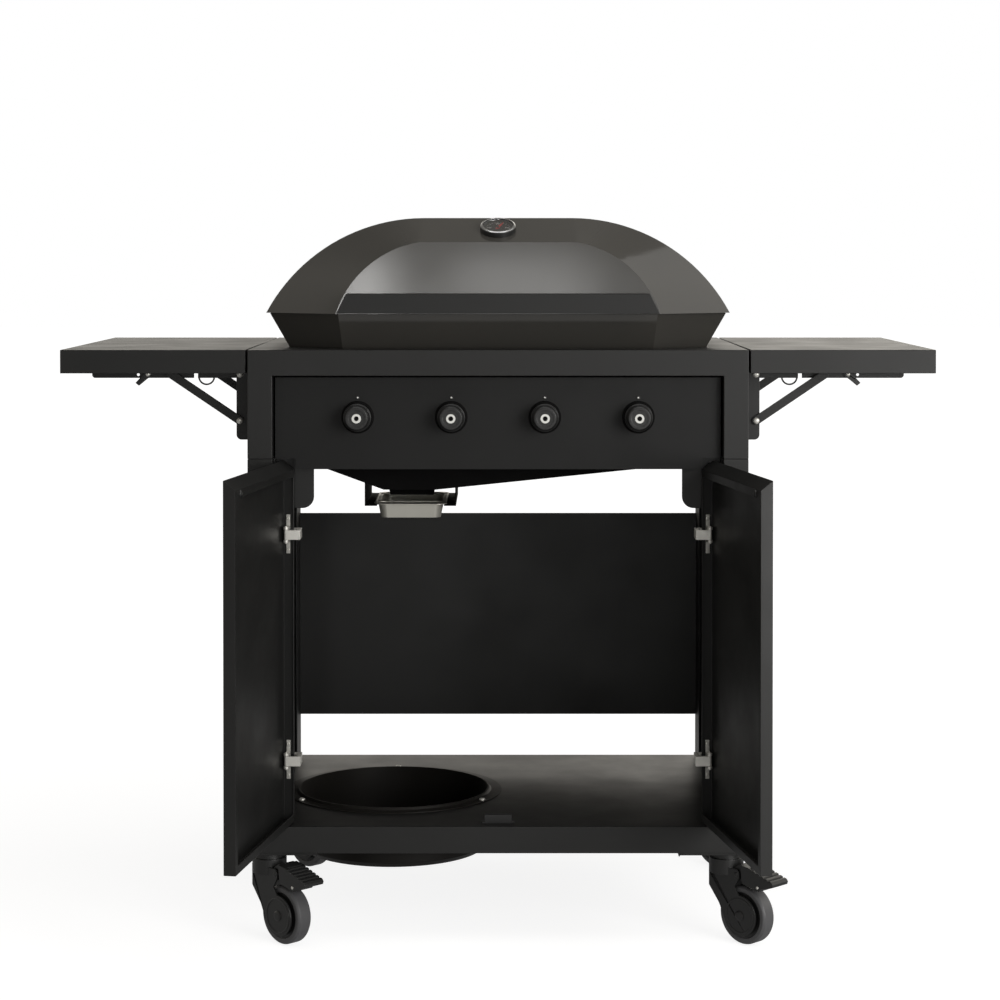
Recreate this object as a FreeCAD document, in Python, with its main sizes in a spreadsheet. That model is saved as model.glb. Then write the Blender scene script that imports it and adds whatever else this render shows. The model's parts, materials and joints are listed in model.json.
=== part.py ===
"""Cart gas grill: arched lid, four burners, folding side tables and a two-door cabinet.

Millimetres, +Z up, origin on the floor under the middle of the grill with its doors open.
"""
import FreeCAD, Part
import math
import os
from types import SimpleNamespace

import Sketcher

SIZES = {
    # cart
    "front_y": -114.1485,
    "cart_width": 766,
    "cart_depth": 540,
    "worktop_z": 910,
    "seam_z": 743,
    "shelf_z": 179,
    "base_height": 41,
    "leg_width": 38,
    "rail_height": 40,
    "sheet": 2,
    "thin_sheet": 1.5,
    "vent_top_z": 830,
    "back_bottom_z": 254,
    "back_top_z": 605,
    "panel_lip": 40,
    "gusset_reach": 61,
    "gusset_drop": 79,
    # gas bottle well in the shelf
    "well_x": -170,
    "well_setback": 262,
    "well_radius": 153.5,
    "well_depth": 91,
    "well_flange": 21,
    "well_bead": 4,
    "well_screw_radius": 167,
    # control panel, valves and knobs
    "panel_recess": 18,
    "panel_gap": 3,
    "panel_bottom_z": 726,
    "panel_flange": 20,
    "panel_hem": 12,
    "knob_pitch": 143.6,
    "knob_z": 806,
    "knob_radius": 21.5,
    "knob_length": 28,
    "knob_front": 38,
    "knob_crown": 6,
    "bezel_radius": 25,
    "bezel_height": 4,
    "spindle_radius": 4,
    "spindle_hole": 8,
    "spindle_push": 4,
    "valve_width": 30,
    "valve_length": 46,
    "valve_collar": 6,
    "valve_bore": 32,
    "manifold_radius": 9,
    "manifold_overhang": 70,
    "inlet_radius": 5,
    "inlet_length": 42,
    # firebox and lid
    "lid_setback": 15,
    "lid_back_setback": 25,
    "lip_z": 964,
    "lip_half": 362.5,
    "lip_front_half": 249,
    "lid_overhang": 5.5,
    "bevel_depth": 77,
    "bowl_slope": 0.55,
    "bowl_face_slope": 0.1,
    "bowl_floor_z": 760,
    "bowl_wall": 2.3,
    "deck_gap": 1.5,
    "crown_rise": 148,
    "crown_half": 117,
    "crown_radius": 280,
    "facet_rise": 110,
    "facet_half": 120,
    "facet_radius": 162,
    "lid_gap": 0.5,
    "handle_rise": 31,
    "handle_drop": 30,
    "handle_reach": 22,
    "handle_top_half": 232,
    "handle_bottom_half": 247,
    "lid_axis_setback": 10,
    "lid_axis_rise": 8,
    "lid_pin_radius": 4,
    "lid_eye_radius": 9,
    "lid_post_x": 200,
    "lid_post_width": 8,
    "lid_post_foot": 24,
    "dial_radius": 27.5,
    "dial_height": 9,
    "needle_rest": 27,
    # cooking system
    "burner_radius": 13,
    "burner_neck": 7.5,
    "burner_clear": 28,
    "burner_tip": 22,
    "tent_half": 55,
    "tent_rise": 30,
    "tent_z": 845,
    "grate_z": 925,
    "grate_bar": 7,
    "grate_pitch": 21,
    "grate_gap": 4,
    "grate_cross_inset": 90,
    "rail_flange": 26,
    "rail_web": 25,
    "hopper_low_z": 683,
    "hopper_left": -181,
    "hopper_right": -99,
    "hopper_half": 290,
    "hopper_rise": 40,
    "spout_radius": 22,
    "tray_rim_z": 657,
    "tray_depth": 23,
    "tray_half": 58,
    "tray_length": 200,
    "tray_flange": 6,
    "tray_corner": 14,
    "tray_taper": 4,
    "tray_grip": 4.5,
    "hanger_half": 73,
    # doors
    "door_thick": 18,
    "door_gap": 3,
    "door_bottom_gap": 3,
    "door_top_z": 739,
    "door_bevel": 14,
    "door_meeting_gap": 3,
    "door_lip": 12,
    "door_hinge_lip": 4,
    "door_open": 99.3,
    "hinge_inset": 17,
    "hinge_top_z": 626,
    "hinge_bottom_z": 278,
    "hinge_height": 15,
    "hinge_leaf_height": 60,
    "hinge_pin": 2,
    "hinge_reach": 22,
    "catch_width": 50,
    "catch_height": 14,
    "catch_depth": 15,
    # side tables
    "table_width": 283,
    "table_height": 36,
    "table_gap": 3,
    "table_lip": 14,
    "rib_width": 34,
    "bracket_setback": 75,
    "bracket_axis_out": 19,
    "bracket_axis_z": 869,
    "bracket_bottom_z": 767,
    "bracket_plate": 4,
    "bracket_foot": 14,
    "bracket_pin": 3,
    "bracket_lug": 8,
    "bracket_edge": 5.5,
    "arm_length": 231,
    "arm_below": 6,
    "arm_heel": 8,
    "arm_corner": 5,
    "notch_near": 66,
    "notch_far": 72,
    "notch_rise": 3,
    "hook_reach": 52.5,
    "hook_radius": 13.2,
    "hook_strip": 2.6,
    "hook_sink": 4.1,
    "strut_drop": 72,
    "strut_reach": 106.5,
    "strut_width": 13,
    "lever_reach": 143.6,
    "lever_plate": 3,
    "lever_pin": 2,
    # casters
    "caster_inset_x": 30,
    "caster_inset_y": 32,
    "caster_plate": 4,
    "caster_plate_width": 76,
    "caster_trail": 41,
    "caster_turn": 45,
    "wheel_radius": 44.5,
    "wheel_width": 28,
    "crown_gap": 14,
    "neck_radius": 26.5,
    "swivel_pad_radius": 24,
    "swivel_ring_radius": 22.5,
    "swivel_ring_height": 7.5,
    "boss_radius": 31,
    "cheek_back": 20,
    "cheek_ear": 40,
    "fork_wall": 3,
    "axle_radius": 4,
    "pedal_reach": 106,
    "pedal_half": 19,
    "pedal_pivot": 34,
    # fits
    "running_fit": 0.06,
    "air_gap": 0.3,
    "fork_gap": 1.5,
}


class Size:
    """A length that carries its number and the sheet expression that gives it."""

    def __init__(self, number, text):
        self.number = float(number)
        self.text = text

    def joined(self, sign, other, number):
        return Size(number, f"({self.text} {sign} {as_size(other).text})")

    def __add__(self, other):
        return self.joined("+", other, self.number + as_size(other).number)

    def __sub__(self, other):
        return self.joined("-", other, self.number - as_size(other).number)

    def __mul__(self, other):
        return self.joined("*", other, self.number * as_size(other).number)

    def __truediv__(self, other):
        return self.joined("/", other, self.number / as_size(other).number)

    def __radd__(self, other):
        return as_size(other) + self

    def __rsub__(self, other):
        return as_size(other) - self

    def __rmul__(self, other):
        return as_size(other) * self

    def __neg__(self):
        return Size(-self.number, f"(0 - {self.text})")


def as_size(value):
    """Give a plain number the form of a Size."""
    if isinstance(value, Size):
        return value
    return Size(value, f"({value:.10g})")


def root_of_squares(first, second):
    """Length of the long side of a right triangle."""
    return Size(
        math.hypot(first.number, second.number),
        f"sqrt({first.text} * {first.text} + {second.text} * {second.text})",
    )


def slope_angle(rise, run):
    """Angle in degrees of a slope."""
    degrees = math.degrees(math.atan2(rise.number, run.number))
    return Size(degrees, f"(atan({rise.text} / {run.text}) / 1 deg)")


doc = FreeCAD.newDocument("gas_grill")
sheet = doc.addObject("Spreadsheet::Sheet", "Sizes")
for row, (alias, number) in enumerate(SIZES.items(), start=1):
    sheet.set(f"A{row}", alias)
    sheet.set(f"B{row}", str(number))
    sheet.setAlias(f"B{row}", alias)
doc.recompute()

d = SimpleNamespace(**{alias: Size(number, f"Sizes.{alias}") for alias, number in SIZES.items()})
NODES = []


# Building blocks

def bind(item, prop, value):
    """Tie one property to the sheet."""
    item.setExpression(prop, as_size(value).text)


def put(item, x=0, y=0, z=0):
    """Tie the place of an object to the sheet."""
    for letter, value in zip("xyz", (x, y, z)):
        bind(item, f"Placement.Base.{letter}", value)
    return item


def turn(item, axis, angle):
    """Turn an object about an axis through its own origin."""
    rotation = FreeCAD.Rotation(FreeCAD.Vector(*axis), as_size(angle).number)
    item.Placement = FreeCAD.Placement(FreeCAD.Vector(), rotation)
    bind(item, "Placement.Rotation.Angle", angle)
    return item


def box(name, x, y, z):
    """Block between a low and a high value on each axis."""
    item = doc.addObject("Part::Box", name)
    for prop, (low, high) in zip(("Length", "Width", "Height"), (x, y, z)):
        bind(item, prop, as_size(high) - low)
    return put(item, x[0], y[0], z[0])


def rod(name, axis, start, radius, length):
    """Round bar that runs from its start along +X, +Y or +Z."""
    item = doc.addObject("Part::Cylinder", name)
    if axis == "x":
        turn(item, (0, 1, 0), 90)
    elif axis == "y":
        turn(item, (-1, 0, 0), 90)
    bind(item, "Radius", radius)
    bind(item, "Height", length)
    return put(item, *start)


def group(name, *items):
    """Separate solids kept together."""
    item = doc.addObject("Part::Compound", name)
    item.Links = list(items)
    return item


def fuse(name, *items):
    """One solid from several."""
    item = doc.addObject("Part::MultiFuse", name)
    item.Shapes = list(items)
    item.Refine = True
    return item


def cut(name, base, *tools):
    """A solid with one or more others taken out of it."""
    item = doc.addObject("Part::Cut", name)
    item.Base = base
    item.Tool = tools[0] if len(tools) == 1 else group(f"{name}_tools", *tools)
    return item


def common(name, base, tool):
    """What two solids share."""
    item = doc.addObject("Part::Common", name)
    item.Base = base
    item.Tool = tool
    return item


def mirror(name, source, normal, base_y=0):
    """Mirror image across X = 0 or across a plane of constant Y."""
    item = doc.addObject("Part::Mirroring", name)
    item.Source = source
    item.Normal = FreeCAD.Vector(*normal)
    bind(item, "Base.y", base_y)
    return item


def other_side(name, source):
    """Mirror image on the right-hand side."""
    return mirror(name, source, (1, 0, 0))


def other_end(name, source):
    """Mirror image at the back of the cart."""
    return mirror(name, source, (0, 1, 0), MIDDLE)


def node(label, item):
    """Name a finished piece for its file."""
    item.Label = label
    NODES.append(item)
    return item


def outline(body, name, plane, offset, points, holes=()):
    """Closed sketch through points (u, v) or (u, v, radius); a radius bulges the next edge outwards."""
    sketch = body.newObject("Sketcher::SketchObject", name)
    support = next(f for f in body.Origin.OriginFeatures if f.Role == f"{plane}_Plane")
    sketch.AttachmentSupport = [(support, "")]
    sketch.MapMode = "FlatFace"
    bind(sketch, "AttachmentOffset.Base.z", -as_size(offset) if plane == "XZ" else offset)
    points = [tuple(as_size(value) for value in point) for point in points]
    vectors = [FreeCAD.Vector(point[0].number, point[1].number) for point in points]
    ends = []
    for index, point in enumerate(points):
        here, there = vectors[index], vectors[(index + 1) % len(points)]
        if len(point) == 2:
            sketch.addGeometry(Part.LineSegment(here, there))
        else:
            sketch.addGeometry(Part.Arc(here, bulge(here, there, point[2].number), there))
        starts_here = (sketch.getPoint(index, 1) - here).Length < 1e-6
        ends.append((1, 2) if starts_here else (2, 1))
    for index, point in enumerate(points):
        follower = (index + 1) % len(points)
        joint = ("Coincident", index, ends[index][1], follower, ends[follower][0])
        sketch.addConstraint(Sketcher.Constraint(*joint))
        for kind, value in zip(("DistanceX", "DistanceY"), point):
            datum(sketch, value, kind, -1, 1, index, ends[index][0])
        if len(point) == 3:
            size_arc(sketch, index, point, points[follower])
    for hole in holes:
        u, v, radius = (as_size(value) for value in hole)
        circle = Part.Circle(FreeCAD.Vector(u.number, v.number), FreeCAD.Vector(0, 0, 1), radius.number)
        index = sketch.addGeometry(circle)
        datum(sketch, u, "DistanceX", -1, 1, index, 3)
        datum(sketch, v, "DistanceY", -1, 1, index, 3)
        datum(sketch, radius, "Radius", index)
    return sketch


def size_arc(sketch, index, start, end):
    """Give an arc its radius, or hold its centre on the chord where it is a half circle."""
    rise = end[1].number - start[1].number
    run = end[0].number - start[0].number
    if math.hypot(rise, run) < 2 * start[2].number - 1e-6:
        datum(sketch, start[2], "Radius", index)
    elif abs(rise) > abs(run):
        datum(sketch, start[0], "DistanceX", -1, 1, index, 3)
    else:
        datum(sketch, start[1], "DistanceY", -1, 1, index, 3)


def datum(sketch, value, *place):
    """Dimension in a sketch, tied to the sheet."""
    index = sketch.addConstraint(Sketcher.Constraint(*place, value.number))
    sketch.setExpression(f"Constraints[{index}]", value.text)


def bulge(here, there, radius):
    """Point half way along the arc between two points, on the left of the way."""
    chord = there - here
    sagitta = radius - math.sqrt(max(radius**2 - (chord.Length / 2) ** 2, 0))
    left = FreeCAD.Vector(-chord.y, chord.x) / chord.Length
    return (here + there) / 2 + left * sagitta


def pad(name, plane, low, high, points, holes=()):
    """Profile drawn on a plane and padded from a low to a high place along its normal."""
    body = doc.addObject("PartDesign::Body", name)
    sketch = outline(body, f"{name}_outline", plane, low, points, holes)
    solid = body.newObject("PartDesign::Pad", f"{name}_pad")
    solid.Profile = sketch
    solid.Reversed = plane == "XZ"
    bind(solid, "Length", as_size(high) - low)
    return body


def revolve(name, points):
    """Half profile (radius, height) turned about its own Z axis."""
    body = doc.addObject("PartDesign::Body", name)
    sketch = outline(body, f"{name}_outline", "XZ", 0, points)
    solid = body.newObject("PartDesign::Revolution", f"{name}_turned")
    solid.Profile = sketch
    solid.ReferenceAxis = (sketch, ["V_Axis"])
    solid.Angle = 360
    return body


def loft(name, plane, stations, inner=()):
    """Straight-sided loft through (place, points) stations, less an inner one that hollows it."""
    body = doc.addObject("PartDesign::Body", name)
    for kind, places in (("Additive", stations), ("Subtractive", inner)):
        if not places:
            continue
        sketches = [
            outline(body, f"{name}_{kind}_{index}", plane, place, points)
            for index, (place, points) in enumerate(places)
        ]
        solid = body.newObject(f"PartDesign::{kind}Loft", f"{name}_{kind}_loft")
        solid.Profile = sketches[0]
        solid.Sections = sketches[1:]
        solid.Ruled = True
    return body


# Places that several pieces share

HALF = d.cart_width / 2
FRONT = d.front_y
BACK = FRONT + d.cart_depth
MIDDLE = FRONT + d.cart_depth / 2
INNER = HALF - d.leg_width
PANEL_Y = FRONT + d.panel_recess
LID_FRONT = FRONT + d.lid_setback
LID_BACK = BACK - d.lid_back_setback
LID_Z = d.lip_z + d.lid_gap
LID_AXIS_Y = BACK - d.lid_axis_setback
LID_AXIS_Z = d.lip_z + d.lid_axis_rise
KNOB_X = [d.knob_pitch * step for step in (-1.5, -0.5, 0.5, 1.5)]
DOOR_AXIS_X = INNER - d.door_gap - d.hinge_inset
DOOR_AXIS_Y = FRONT + d.door_thick / 2
TABLE_AXIS_X = HALF + d.bracket_axis_out
BRACKET_Y = FRONT + d.bracket_setback
OVER = 5


def bowl_inset(z):
    """How far the firebox wall stands in from the lid's rim at a height."""
    return d.lid_overhang + (d.lip_z - z) * d.bowl_slope


def octagon(z, trim=0):
    """Plan of the firebox at a height, with its corners cut off, optionally trimmed all round."""
    inset = bowl_inset(z) + trim
    side = d.lip_half - inset
    face = d.lip_front_half - (d.lid_overhang + trim) * 0.6 - (d.lip_z - z) * d.bowl_face_slope
    corner = d.bevel_depth * (side - face) / (d.lip_half - d.lip_front_half)
    front, back = LID_FRONT + inset, LID_BACK - inset
    return [
        (-face, front),
        (face, front),
        (side, front + corner),
        (side, back - corner),
        (face, back),
        (-face, back),
        (-side, back - corner),
        (-side, front + corner),
    ]


# Base, legs and cabinet

def build_base():
    """Folded base tray, bottle well, corner plates, legs and panels."""
    floor_z = d.shelf_z - d.base_height
    outer = box("base_block", (-HALF, HALF), (FRONT, BACK), (floor_z, d.shelf_z))
    hollow = box(
        "base_hollow",
        (-HALF + d.sheet, HALF - d.sheet),
        (FRONT + d.sheet, BACK - d.sheet),
        (floor_z + d.sheet, d.shelf_z - d.sheet),
    )
    lip = d.caster_plate_width
    mouth = box(
        "base_mouth",
        (-HALF + lip, HALF - lip),
        (FRONT + lip, BACK - lip),
        (floor_z - OVER, floor_z + OVER),
    )
    well_y = FRONT + d.well_setback
    well_wall = d.well_radius + d.thin_sheet
    well_at = (d.well_x, well_y, floor_z)
    well_cut = rod("well_cut", "z", well_at, well_wall + d.air_gap, d.base_height + OVER)
    node("base_tray", cut("base_shell", outer, hollow, mouth, well_cut))

    rim = d.well_radius + d.well_bead
    top = d.well_bead + d.thin_sheet
    tray = revolve("well_pan", [
        (0, -d.well_depth),
        (well_wall - 8, -d.well_depth),
        (well_wall, 8 - d.well_depth),
        (well_wall, 0),
        (well_wall + d.well_flange, 0),
        (well_wall + d.well_flange, d.thin_sheet),
        (rim + 1, d.thin_sheet),
        (rim - 1, top),
        (d.well_radius, top),
        (d.well_radius, 8.5 - d.well_depth),
        (d.well_radius - 7.5, d.thin_sheet - d.well_depth),
        (0, d.thin_sheet - d.well_depth),
    ])
    node("bottle_tray", put(tray, d.well_x, well_y, d.shelf_z))

    leg_outer = box("leg_block", (-HALF, -INNER), (FRONT, FRONT + d.leg_width), (d.shelf_z, d.seam_z))
    leg_inner = box(
        "leg_bore",
        (-HALF + d.sheet, -INNER - d.sheet),
        (FRONT + d.sheet, FRONT + d.leg_width - d.sheet),
        (d.shelf_z - OVER, d.seam_z + OVER),
    )
    leg = cut("front_leg", leg_outer, leg_inner)
    pair = group("left_legs", leg, other_end("back_leg", leg))
    node("legs", group("leg_set", pair, other_side("right_legs", pair)))

    front, back = FRONT + d.leg_width, BACK - d.leg_width
    outer_x, inner_x = HALF - d.sheet, INNER + d.sheet
    panel = pad("left_panel", "XY", d.shelf_z, d.seam_z, [
        (-HALF, front),
        (-INNER, front),
        (-INNER, front + d.panel_lip),
        (-inner_x, front + d.panel_lip),
        (-inner_x, front + d.sheet),
        (-outer_x, front + d.sheet),
        (-outer_x, back - d.sheet),
        (-inner_x, back - d.sheet),
        (-inner_x, back - d.panel_lip),
        (-INNER, back - d.panel_lip),
        (-INNER, back),
        (-HALF, back),
    ])
    node("side_panels", group("panel_pair", panel, other_side("right_panel", panel)))
    rear = (BACK - d.leg_width / 2, BACK - d.leg_width / 2 + d.sheet)
    node("back_panel", box("back_sheet", (-INNER, INNER), rear, (d.back_bottom_z, d.back_top_z)))

    gusset_y = FRONT + d.leg_width
    gusset_low = d.seam_z - d.gusset_drop
    gusset_in = INNER - d.gusset_reach
    corner = 18
    gusset = pad("left_gusset", "XZ", gusset_y, gusset_y + d.sheet, [
        (-INNER, gusset_low),
        (-INNER, d.seam_z),
        (-gusset_in, d.seam_z),
        (-gusset_in, gusset_low + corner, corner),
        (-gusset_in - corner, gusset_low),
    ])
    brace = box(
        "left_gusset_foot",
        (-INNER, -INNER + d.sheet),
        (gusset_y - d.leg_width / 2, gusset_y),
        (gusset_low, d.seam_z),
    )
    whole = fuse("left_gusset_whole", gusset, brace)
    node("corner_gussets", group("gusset_pair", whole, other_side("right_gusset", whole)))

    half_catch = d.catch_width / 2
    half_magnet = half_catch - 4
    catch_y = FRONT + d.door_thick + 2
    catch_foot = box(
        "catch_foot",
        (-half_catch, half_catch),
        (catch_y, catch_y + d.catch_depth),
        (d.shelf_z, d.shelf_z + 3),
    )
    magnet = box(
        "catch_magnet",
        (-half_magnet, half_magnet),
        (catch_y, catch_y + d.catch_depth - 6),
        (d.shelf_z, d.shelf_z + d.catch_height),
    )
    node("door_catch", fuse("catch_whole", catch_foot, magnet))


# Upper frame and control panel

def build_upper_frame():
    """Worktop box with the firebox opening, folded stiles and the recessed control panel."""
    outer = box("top_block", (-HALF, HALF), (FRONT, BACK), (d.seam_z, d.worktop_z))
    hollow = box(
        "top_hollow",
        (-HALF + d.sheet, HALF - d.sheet),
        (FRONT + d.sheet, BACK - d.sheet),
        (d.seam_z - OVER, d.worktop_z - d.sheet),
    )
    rail_z = d.worktop_z - d.rail_height
    window = box("top_window", (-INNER, INNER), (FRONT - OVER, FRONT + OVER), (d.seam_z - OVER, rail_z))
    vent = box("top_vent", (-INNER, INNER), (BACK - OVER, BACK + OVER), (d.seam_z - OVER, d.vent_top_z))
    well = pad("deck_well", "XY", d.worktop_z - OVER, d.worktop_z + OVER, octagon(d.worktop_z, -d.deck_gap))
    shell = cut("top_shell", outer, hollow, window, vent, well)
    depth = (FRONT + d.sheet / 2, FRONT + d.leg_width)
    stile = box("stile_return", (-INNER - d.sheet, -INNER), depth, (d.seam_z, d.worktop_z - d.sheet / 2))
    foot = box("stile_foot", (-HALF + d.sheet / 2, -INNER), depth, (d.seam_z, d.seam_z + d.sheet))
    rail = box("rail_return", (-INNER - d.sheet, INNER + d.sheet), depth, (rail_z, rail_z + d.sheet))
    corner = fuse("stile_corner", stile, foot)
    left = group("left_corners", corner, other_end("back_corner", corner))
    node("upper_frame", fuse("top_whole", shell, left, other_side("right_corners", left), rail))

    half = INNER - d.panel_gap
    back_y = FRONT + d.leg_width
    wing = half + d.panel_flange
    wall = d.sheet
    top_z = rail_z - d.panel_gap
    apron = DOOR_AXIS_X - d.door_thick / 2 - OVER
    face = pad("panel_face", "XZ", PANEL_Y, PANEL_Y + wall, [
        (-half, d.seam_z),
        (-half, top_z),
        (half, top_z),
        (half, d.seam_z),
        (apron, d.seam_z),
        (apron, d.panel_bottom_z),
        (-apron, d.panel_bottom_z),
        (-apron, d.seam_z),
    ], [(x, d.knob_z, d.spindle_hole) for x in KNOB_X])
    side = pad("panel_side", "XY", d.seam_z + wall, top_z, [
        (-half, PANEL_Y + wall / 2),
        (-half, back_y),
        (-wing, back_y),
        (-wing, back_y + wall),
        (wall - half, back_y + wall),
        (wall - half, PANEL_Y + wall / 2),
    ])
    hem_y = (PANEL_Y + wall / 2, PANEL_Y + d.panel_hem)
    hem = box("panel_hem_fold", (-apron, apron), hem_y, (d.panel_bottom_z, d.panel_bottom_z + wall))
    node("control_panel", fuse("panel_whole", face, side, other_side("panel_side_right", side), hem))


# Gas train, knobs and burners

def build_gas_train():
    """Valves, manifold with its inlet, spindles and knobs."""
    valve_y = PANEL_Y + d.sheet
    bore = d.spindle_radius + d.running_fit
    half = d.valve_width / 2
    neck_end = valve_y + d.valve_length
    manifold_z = d.knob_z - half - d.manifold_radius
    manifold_y = valve_y + d.valve_length / 2
    end_x = KNOB_X[0] - d.manifold_overhang
    bezels, valves = [], []
    for index, x in enumerate(KNOB_X, start=1):
        body = box(
            f"valve_body_{index}",
            (x - half, x + half),
            (valve_y + d.valve_collar, neck_end),
            (d.knob_z - half, d.knob_z + half),
        )
        collar = rod(f"valve_collar_{index}", "y", (x, valve_y, d.knob_z), half, d.valve_collar + OVER)
        stem = rod(f"valve_bore_{index}", "y", (x, valve_y - OVER, d.knob_z), bore, d.valve_bore + OVER)
        valves.append(cut(f"valve_{index}", fuse(f"valve_whole_{index}", body, collar), stem))

        ring = revolve(f"bezel_{index}", [
            (d.spindle_hole, 0),
            (d.bezel_radius, 0),
            (d.bezel_radius, d.bezel_height / 2),
            (d.bezel_radius - 2, d.bezel_height),
            (d.spindle_hole, d.bezel_height),
        ])
        bezels.append(put(turn(ring, (1, 0, 0), 90), x, PANEL_Y, d.knob_z))

        tip_y = PANEL_Y - d.knob_front
        seat = d.knob_length - d.knob_crown
        rear_y = tip_y + d.knob_length
        spindle_back = valve_y + d.valve_bore - d.spindle_push - 1
        spindle_front = tip_y + d.knob_crown + d.air_gap
        spindle_at = (x, spindle_front, d.knob_z)
        spindle_length = spindle_back - spindle_front
        spindle = rod(f"spindle_rod_{index}", "y", spindle_at, d.spindle_radius, spindle_length)
        node(f"valve_spindle_{index}", spindle)

        radius = d.knob_radius
        cap = revolve(f"knob_cap_{index}", [
            (bore, 0),
            (radius - 1, 0),
            (radius, 1),
            (radius, 7),
            (radius - 2, 8),
            (radius - 2.5, d.knob_length - 3),
            (radius - 5, d.knob_length),
            (radius - 8, d.knob_length),
            (radius - 10, d.knob_length - 1),
            (0, d.knob_length - 1),
            (0, seat),
            (bore, seat),
        ])
        put(turn(cap, (1, 0, 0), 90), x, rear_y, d.knob_z)
        flutes = [
            rod(f"knob_flute_{index}_{step}", "y", (
                x + (radius + 0.4) * round(math.cos(math.radians(angle)), 9),
                tip_y - OVER,
                d.knob_z + (radius + 0.4) * round(math.sin(math.radians(angle)), 9),
            ), 3, d.knob_length - 9 + OVER)
            for step, angle in enumerate(range(30, 390, 60))
        ]
        node(f"knob_{index}", cut(f"knob_fluted_{index}", cap, *flutes))
    node("knob_bezels", group("bezel_set", *bezels))
    node("gas_valves", group("valve_set", *valves))

    pipe_at = (end_x, manifold_y, manifold_z)
    pipe = rod("manifold_pipe", "x", pipe_at, d.manifold_radius, KNOB_X[3] + half - end_x)
    elbow_radius = d.manifold_radius + 3
    elbow_x = end_x + elbow_radius
    elbow = rod("manifold_elbow", "z", (elbow_x, manifold_y, manifold_z - 16), elbow_radius, 30)
    inlet_at = (elbow_x, manifold_y, manifold_z - d.inlet_length)
    inlet = rod("gas_inlet", "z", inlet_at, d.inlet_radius, d.inlet_length)
    node("gas_manifold", fuse("manifold_whole", pipe, elbow, inlet))
    build_burners(neck_end)


def build_burners(valve_end):
    """Four tube burners, the tents over them and three cooking grates."""
    wall_inset = bowl_inset(d.knob_z) + d.bowl_wall
    tube_front = LID_FRONT + wall_inset + d.burner_clear
    tube_back = LID_BACK - wall_inset - d.burner_clear
    tent_fence = pad(
        "tent_fence", "XY", d.tent_z, d.tent_z + d.tent_rise,
        octagon(d.tent_z, d.bowl_wall + d.air_gap),
    )
    burners, tents = [], []
    for index, x in enumerate(KNOB_X, start=1):
        tube_at, tip_at = (x, tube_front, d.knob_z), (x, tube_back - OVER, d.knob_z)
        tube = rod(f"burner_tube_{index}", "y", tube_at, d.burner_radius, tube_back - tube_front)
        neck_length = tube_front - valve_end + OVER
        neck = rod(f"burner_neck_{index}", "y", (x, valve_end, d.knob_z), d.burner_neck, neck_length)
        tip = rod(f"burner_tip_{index}", "y", tip_at, d.burner_neck / 2, OVER + d.burner_tip)
        burners.append(fuse(f"burner_{index}", tube, neck, tip))

        apex, eave, skin = d.tent_z + d.tent_rise, d.tent_z, d.sheet
        ridge = pad(f"tent_ridge_{index}", "XZ", LID_FRONT, LID_BACK, [
            (x - d.tent_half, eave),
            (x, apex),
            (x + d.tent_half, eave),
            (x + d.tent_half - skin * 2, eave),
            (x, apex - skin * 1.4),
            (x - d.tent_half + skin * 2, eave),
        ])
        tents.append(common(f"tent_{index}", ridge, tent_fence))
    node("burners", group("burner_set", *burners))
    node("heat_tents", group("tent_set", *tents))

    half_grate = (d.lip_half - bowl_inset(d.grate_z)) / 3
    per_grate = 10
    inset = d.grate_cross_inset
    low, high = d.grate_z, d.grate_z + d.grate_bar
    grates = []
    for index in range(3):
        middle = half_grate * 2 * (index - 1)
        side = half_grate - d.grate_gap / 2
        cross_x = (middle - side, middle + side)
        bars = [
            box(
                f"grate_bar_{index}_{step}",
                (middle + d.grate_pitch * (step - (per_grate - 1) / 2) - d.grate_bar / 2,
                 middle + d.grate_pitch * (step - (per_grate - 1) / 2) + d.grate_bar / 2),
                (LID_FRONT, LID_BACK),
                (low, high),
            )
            for step in range(per_grate)
        ]
        cross = [
            box(f"grate_cross_{index}_{step}", cross_x, (y, y + d.grate_bar), (low, high))
            for step, y in enumerate((LID_FRONT + inset, LID_BACK - inset - d.grate_bar))
        ]
        grid = fuse(f"grate_grid_{index}", *bars, *cross)
        fence = pad(f"grate_fence_{index}", "XY", low, high, octagon(d.grate_z, d.bowl_wall + d.air_gap))
        grates.append(common(f"grate_{index}", grid, fence))
    node("cooking_grates", group("grate_set", *grates))


# Firebox, hopper and drip tray

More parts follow.
